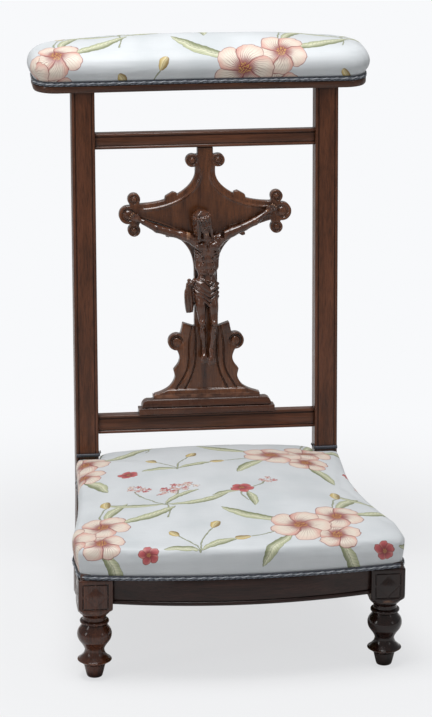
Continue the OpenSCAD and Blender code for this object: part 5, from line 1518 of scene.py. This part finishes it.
# The cloth lies flat over the top and turns down square over each edge, with a fold at the corners
def layCloth(piece, plan, v):
    rim = inset(grown(plan, v["bulge"]), v, v["roll"])[:, :2]
    points = pointsOf(piece)
    flat = points[:, :2] - planPlace
    foot, reach = nearestOn(rim, flat)
    inside = -outlineDistance(flat[:, 0], flat[:, 1], rim) > 0
    away = (flat - foot) / np.maximum(reach, 1e-6)[:, None]
    share = backwardShare(foot[:, 0], foot[:, 1], plan, v)
    drop = np.maximum(v["base"] + v["tack"] + v["height"] * share - points[:, 2], 0)
    roll = v["roll"]
    bent = roll * np.arctan2(reach, np.maximum(roll - drop, 0.01))
    run = np.where(drop < roll, bent, roll * math.pi / 2 + drop - roll)
    # 0 degrees faces the front, 90 a side and 180 the back
    angle = np.degrees(np.arctan2(np.abs(away[:, 0]), -away[:, 1]))
    sign = np.sign(away[:, 0])
    faces = piece.data.polygons
    layer = piece.data.uv_layers.new(name="cloth")
    loops = np.zeros(len(piece.data.loops), int)
    piece.data.loops.foreach_get("vertex_index", loops)
    starts, counts = np.zeros(len(faces), int), np.zeros(len(faces), int)
    faces.foreach_get("loop_start", starts)
    faces.foreach_get("loop_total", counts)
    owner = np.repeat(np.arange(len(faces)), counts)
    sums = np.zeros(len(faces))
    np.add.at(sums, owner, angle[loops])
    mean = (sums / counts)[owner]
    a, s, d, r = angle[loops], sign[loops], run[loops], reach[loops]
    foot2 = foot[loops]
    front = mean < v["pleat"]
    behind = mean > 180 - v["pleat"]
    x = np.where(front, foot2[:, 0] + s * r * np.radians(a),
                 np.where(behind, foot2[:, 0] + s * r * np.radians(180 - a),
                                                                     foot2[:, 0] + s * d))
    y = np.where(front, foot2[:, 1] - d, np.where(behind, foot2[:, 1] + d, foot2[:, 1] + r * np.radians(a - 90)))
    uv = np.column_stack([np.where(inside[loops], flat[loops, 0], x), np.where(inside[loops], flat[loops, 1], y)])
    layer.data.foreach_set("uv", ((uv + v["cut"]) * mm).astype(np.float32).ravel())
    # The fold itself, and slow dents over the stuffing
    crease = np.exp(-((angle - v["pleat"]) / 3.5) ** 2) + np.exp(-((angle - 180 + v["pleat"]) / 3.5) ** 2)
    depth = v["pleatDepth"] * crease * smoothStep(2, 10, reach) * smoothStep(8, 20, run) * ~inside
    points[:, :2] -= away * depth[:, None]
    low = v["base"] + v["tack"] + 6
    for i, p in enumerate(points):
        if p[2] > low:
            wave = noise.noise(Vector(p) / 75) + 0.4 * noise.noise(Vector(p) / 32)
            points[i, 2] += v["dent"] * wave
    movePoints(piece, points)


def makeCushion(name, plan, v, material, cover):
    piece = padForm(name, plan, v, v["start"], 0.3, material)
    grid = piece.modifiers.new("even mesh", "REMESH")
    grid.mode = "VOXEL"
    grid.voxel_size = v["voxel"] * mm
    settle(piece)
    swell(piece, v, v["base"] + v["pin"])
    fine = piece.modifiers.new("fine", "SUBSURF")
    fine.levels = fine.render_levels = 1
    settle(piece)
    layCloth(piece, plan, v)
    # Open underneath, with a wall of cloth and wadding
    low = (v["base"] + 1.5) * mm
    with meshWork(piece.data) as work:
        under = [f for f in work.faces if f.normal.z < -0.6 and f.calc_center_median().z < low]
        bmesh.ops.delete(work, geom=under, context="FACES")
    wall = piece.modifiers.new("wall", "SOLIDIFY")
    wall.thickness = v["thick"] * mm
    wall.offset = -1
    settle(piece)
    piece.data.materials.clear()
    piece.data.materials.append(material)
    piece.data.polygons.foreach_set("use_smooth", [True] * len(piece.data.polygons))
    ride(piece, "printed_cotton", cover)
    print(name, len(piece.data.polygons), "faces")


makeCushion("kneeling_pad", seatOutline, seatPad, finish["cotton"], "seat_cover")
makeCushion("armrest_pad", armOutline, armPad, finish["cotton"], "armrest_cover")

for node, plan, v, bottom in (("seat_stuffing", seatOutline, seatPad, 12.7),
                              ("armrest_stuffing", armOutline, armPad, 8.9)):
    stuffing = padForm(node + "_curled", plan, v, 4.5, bottom, finish["hair"])
    ride(stuffing, "horsehair", node)

# Gimp: a woven tape with three twisted cords laid along it

gimpSizes = {"Tape Height": 6.4, "Tape Thickness": 1.0, "Middle Radius": 0.85, "Middle Ply": 0.7, "Middle Lay": 15.0,
             "Edge Radius": 0.55, "Edge Ply": 0.45, "Edge Lay": 8.0, "Edge Height": 2.5, "Stand Out": 0.8}
gimpLooks = {"Bright": "cordWhite", "Soft": "cordBlue", "Dark": "cordDark", "Tape": "tape"}


def joined(tree, parts):
    whole = addNode(tree, "GeometryNodeJoinGeometry")
    for part in parts:
        tree.links.new(part.outputs[0], whole.inputs[0])
    return whole


# One two-ply cord beside the path. Height and stand-out are from the path to the cord's middle.
def cordTree():
    tree, add, given = newGroup("plied cord", "GeometryNodeTree", {
        "Geometry": ("Path",), "Float": ("Height", "Stand Out", "Strand Radius", "Ply Radius", "Lay", "Spacing"),
        "Material": ("First Ply", "Second Ply")}, {"Geometry": ("Cord",)})
    even = add("GeometryNodeResampleCurve", {"Curve": given["Path"], "Length": given["Spacing"]}, mode="LENGTH")
    upright = add("GeometryNodeSetCurveNormal", {"Curve": even}, mode="Z_UP")
    run = add("GeometryNodeSplineParameter").outputs["Length"]
    out = add("GeometryNodeInputNormal")
    ring = add("GeometryNodeCurvePrimitiveCircle", {"Resolution": 7, "Radius": given["Strand Radius"]})
    turns = add("Math.DIVIDE", [run, given["Lay"]])
    angle = add("Math.MULTIPLY", [turns, 2 * math.pi])
    plies = []
    for phase, label in ((0.0, "First Ply"), (math.pi, "Second Ply")):
        phased = add("Math.ADD", [angle, phase])
        cosine = add("Math.COSINE", [phased])
        sine = add("Math.SINE", [phased])
        sideways = add("Math.MULTIPLY_ADD", [cosine, given["Ply Radius"], given["Stand Out"]])
        upward = add("Math.MULTIPLY_ADD", [sine, given["Ply Radius"], given["Height"]])
        flat = add("VectorMath.SCALE", {0: out, "Scale": sideways})
        lift = add("CombineXYZ", {"Z": upward})
        offset = add("VectorMath.ADD", [flat, lift])
        moved = add("GeometryNodeSetPosition", {"Geometry": upright, "Offset": offset})
        strand = add("GeometryNodeCurveToMesh", {"Curve": moved, "Profile Curve": ring, "Fill Caps": True})
        plies.append(add("GeometryNodeSetMaterial", {"Geometry": strand, "Material": given[label]}))
    add("NodeGroupOutput", {"Cord": joined(tree, plies)})
    return tree


def gimpTree(cord):
    tree, add, given = newGroup("gimp", "GeometryNodeTree", {
        "Geometry": ("Path",), "Float": tuple(gimpSizes), "Material": tuple(gimpLooks)}, {"Geometry": ("Gimp",)})
    upright = add("GeometryNodeSetCurveNormal", {"Curve": given["Path"]}, mode="Z_UP")
    section = add("GeometryNodeCurvePrimitiveQuadrilateral",
                  {"Width": given["Tape Thickness"], "Height": given["Tape Height"]})
    band = add("GeometryNodeCurveToMesh", {"Curve": upright, "Profile Curve": section, "Fill Caps": True})
    parts = [add("GeometryNodeSetMaterial", {"Geometry": band, "Material": given["Tape"]})]
    below = add("Math.MULTIPLY", [given["Edge Height"], -1.0])
    for height, radius, ply, lay, spacing, first, second in (
            (0.0, "Middle Radius", "Middle Ply", "Middle Lay", 1.2, "Bright", "Soft"),
            (given["Edge Height"], "Edge Radius", "Edge Ply", "Edge Lay", 0.9, "Dark", "Dark"),
            (below, "Edge Radius", "Edge Ply", "Edge Lay", 0.9, "Dark", "Soft")):
        parts.append(add("GeometryNodeGroup", {"Path": given["Path"], "Height": height,
                                               "Stand Out": given["Stand Out"], "Strand Radius": given[radius],
                                               "Ply Radius": given[ply], "Lay": given[lay], "Spacing": spacing * mm,
                                               "First Ply": given[first], "Second Ply": given[second]},
                         node_tree=cord))
    add("NodeGroupOutput", {"Gimp": add("GeometryNodeRealizeInstances", [joined(tree, parts)])})
    return tree


gimp = gimpTree(cordTree())


# Lays gimp along a path of points in millimetres. sizes may change some of the gimp's own.
def layGimp(name, path, closed, sizes=None):
    curve = bpy.data.curves.new(name, "CURVE")
    curve.dimensions = "3D"
    line = curve.splines.new("POLY")
    line.points.add(len(path) - 1)
    line.points.foreach_set("co", np.column_stack([np.asarray(path) * mm, np.ones(len(path))]).ravel())
    line.use_cyclic_u = closed
    rope = bpy.data.objects.new(name, curve)
    bpy.context.scene.collection.objects.link(rope)
    modifier = rope.modifiers.new("gimp", "NODES")
    modifier.node_group = gimp
    chosen = dict(gimpSizes, **(sizes or {}))
    for socket in gimp.interface.items_tree:
        if socket.in_out == "INPUT" and socket.name in chosen:
            modifier[socket.identifier] = chosen[socket.name] * mm
        elif socket.in_out == "INPUT" and socket.name in gimpLooks:
            modifier[socket.identifier] = finish[gimpLooks[socket.name]]
    mesh = evaluatedMesh(rope)
    bpy.data.objects.remove(rope)
    mesh.name = name
    return placePiece(name, mesh)


def joinPieces(name, pieces):
    work = bmesh.new()
    materials = []
    for piece in pieces:
        first = len(work.faces)
        work.from_mesh(piece.data)
        work.faces.ensure_lookup_table()
        for face in work.faces[first:]:
            look = piece.data.materials[face.material_index]
            if look not in materials:
                materials.append(look)
            face.material_index = materials.index(look)
    mesh = bpy.data.meshes.new(name)
    work.to_mesh(mesh)
    work.free()
    for look in materials:
        mesh.materials.append(look)
    for piece in pieces:
        bpy.data.objects.remove(piece)
    return placePiece(name, mesh)


# Along a plan, a little inside it, and half way up the gimp's place in the frame
def gimpPath(plan, node):
    line = grown(plan, -0.9)
    z = sum(corner.z for corner in boxOf(node)) / 2
    return np.column_stack([line[:, :2] + planPlace, np.full(len(line), z)])


ride(layGimp("armrest_gimp_braid", gimpPath(armOutline, "armrest_gimp"), True), "braid", "armrest_gimp")

# On the seat it runs from post to post round the front, and again along the back
seatRound = gimpPath(seatOutline, "seat_gimp")
sides = [(seatRound[:, 0] < planPlace[0]) == left for left in (True, False)]
frontRun = np.concatenate([seatRound[side & (seatRound[:, 1] - planPlace[1] < 386)] for side in sides])
backRun = [(x + planPlace[0], seatPlan["back"] + 0.5 + planPlace[1], seatRound[0][2])
           for x in np.linspace(151, -151, 40)]
seatGimp = joinPieces("seat_gimp_braid", [layGimp("front", frontRun, False), layGimp("back", backRun, False)])
ride(seatGimp, "braid", "seat_gimp")

# A short narrow gimp hides the cut in the cover at each post
postGimp = {"stand": 1.3, "depth": 17, "turn": 1.5, "sizes": {
    "Tape Height": 4.0, "Middle Radius": 0.6, "Middle Ply": 0.5, "Middle Lay": 9.0, "Edge Radius": 0.5,
    "Edge Ply": 0.4,
    "Edge Height": 1.6, "Stand Out": 0.8}}
lowPost, highPost = boxOf("post_gimp")
rakedPlace = rakedFrame()
gimpMiddle = Vector((0, lowPost.y, (lowPost.z + highPost.z) / 2 - 1.2))
up = (gimpMiddle - rakedPlace.translation) @ rakedPlace.to_3x3().col[2]
shorts = []
for side in (-1, 1):
    inner, front, turn = seatPlan["postIn"] - postGimp["stand"], -postGimp["stand"], postGimp["turn"]
    corner = [(inner, postGimp["depth"], 0), (inner, front + turn, 0), (inner + turn, front, 0),
              (seatPlan["postOut"], front, 0)]
    path = [rakedPlace @ Vector((side * p[0], p[1], up)) for p in spaced(corner, 2)]
    shorts.append(layGimp("short", [tuple(p) for p in path[::-side]], False, postGimp["sizes"]))
ride(joinPieces("post_gimp_braid", shorts), "braid", "post_gimp")
print("gimp laid")

# Webbing and hessian under the seat

for node, name, look in (("seat_webbing_long", "webbing_long_woven", "webbing"),
                         ("seat_webbing_cross", "webbing_cross_woven", "webbing"),
                         ("seat_hessian", "hessian_woven", "hessian")):
    ride(easedCopy(node, name, finish[look], 0.3), "jute", node)
print("underside made")
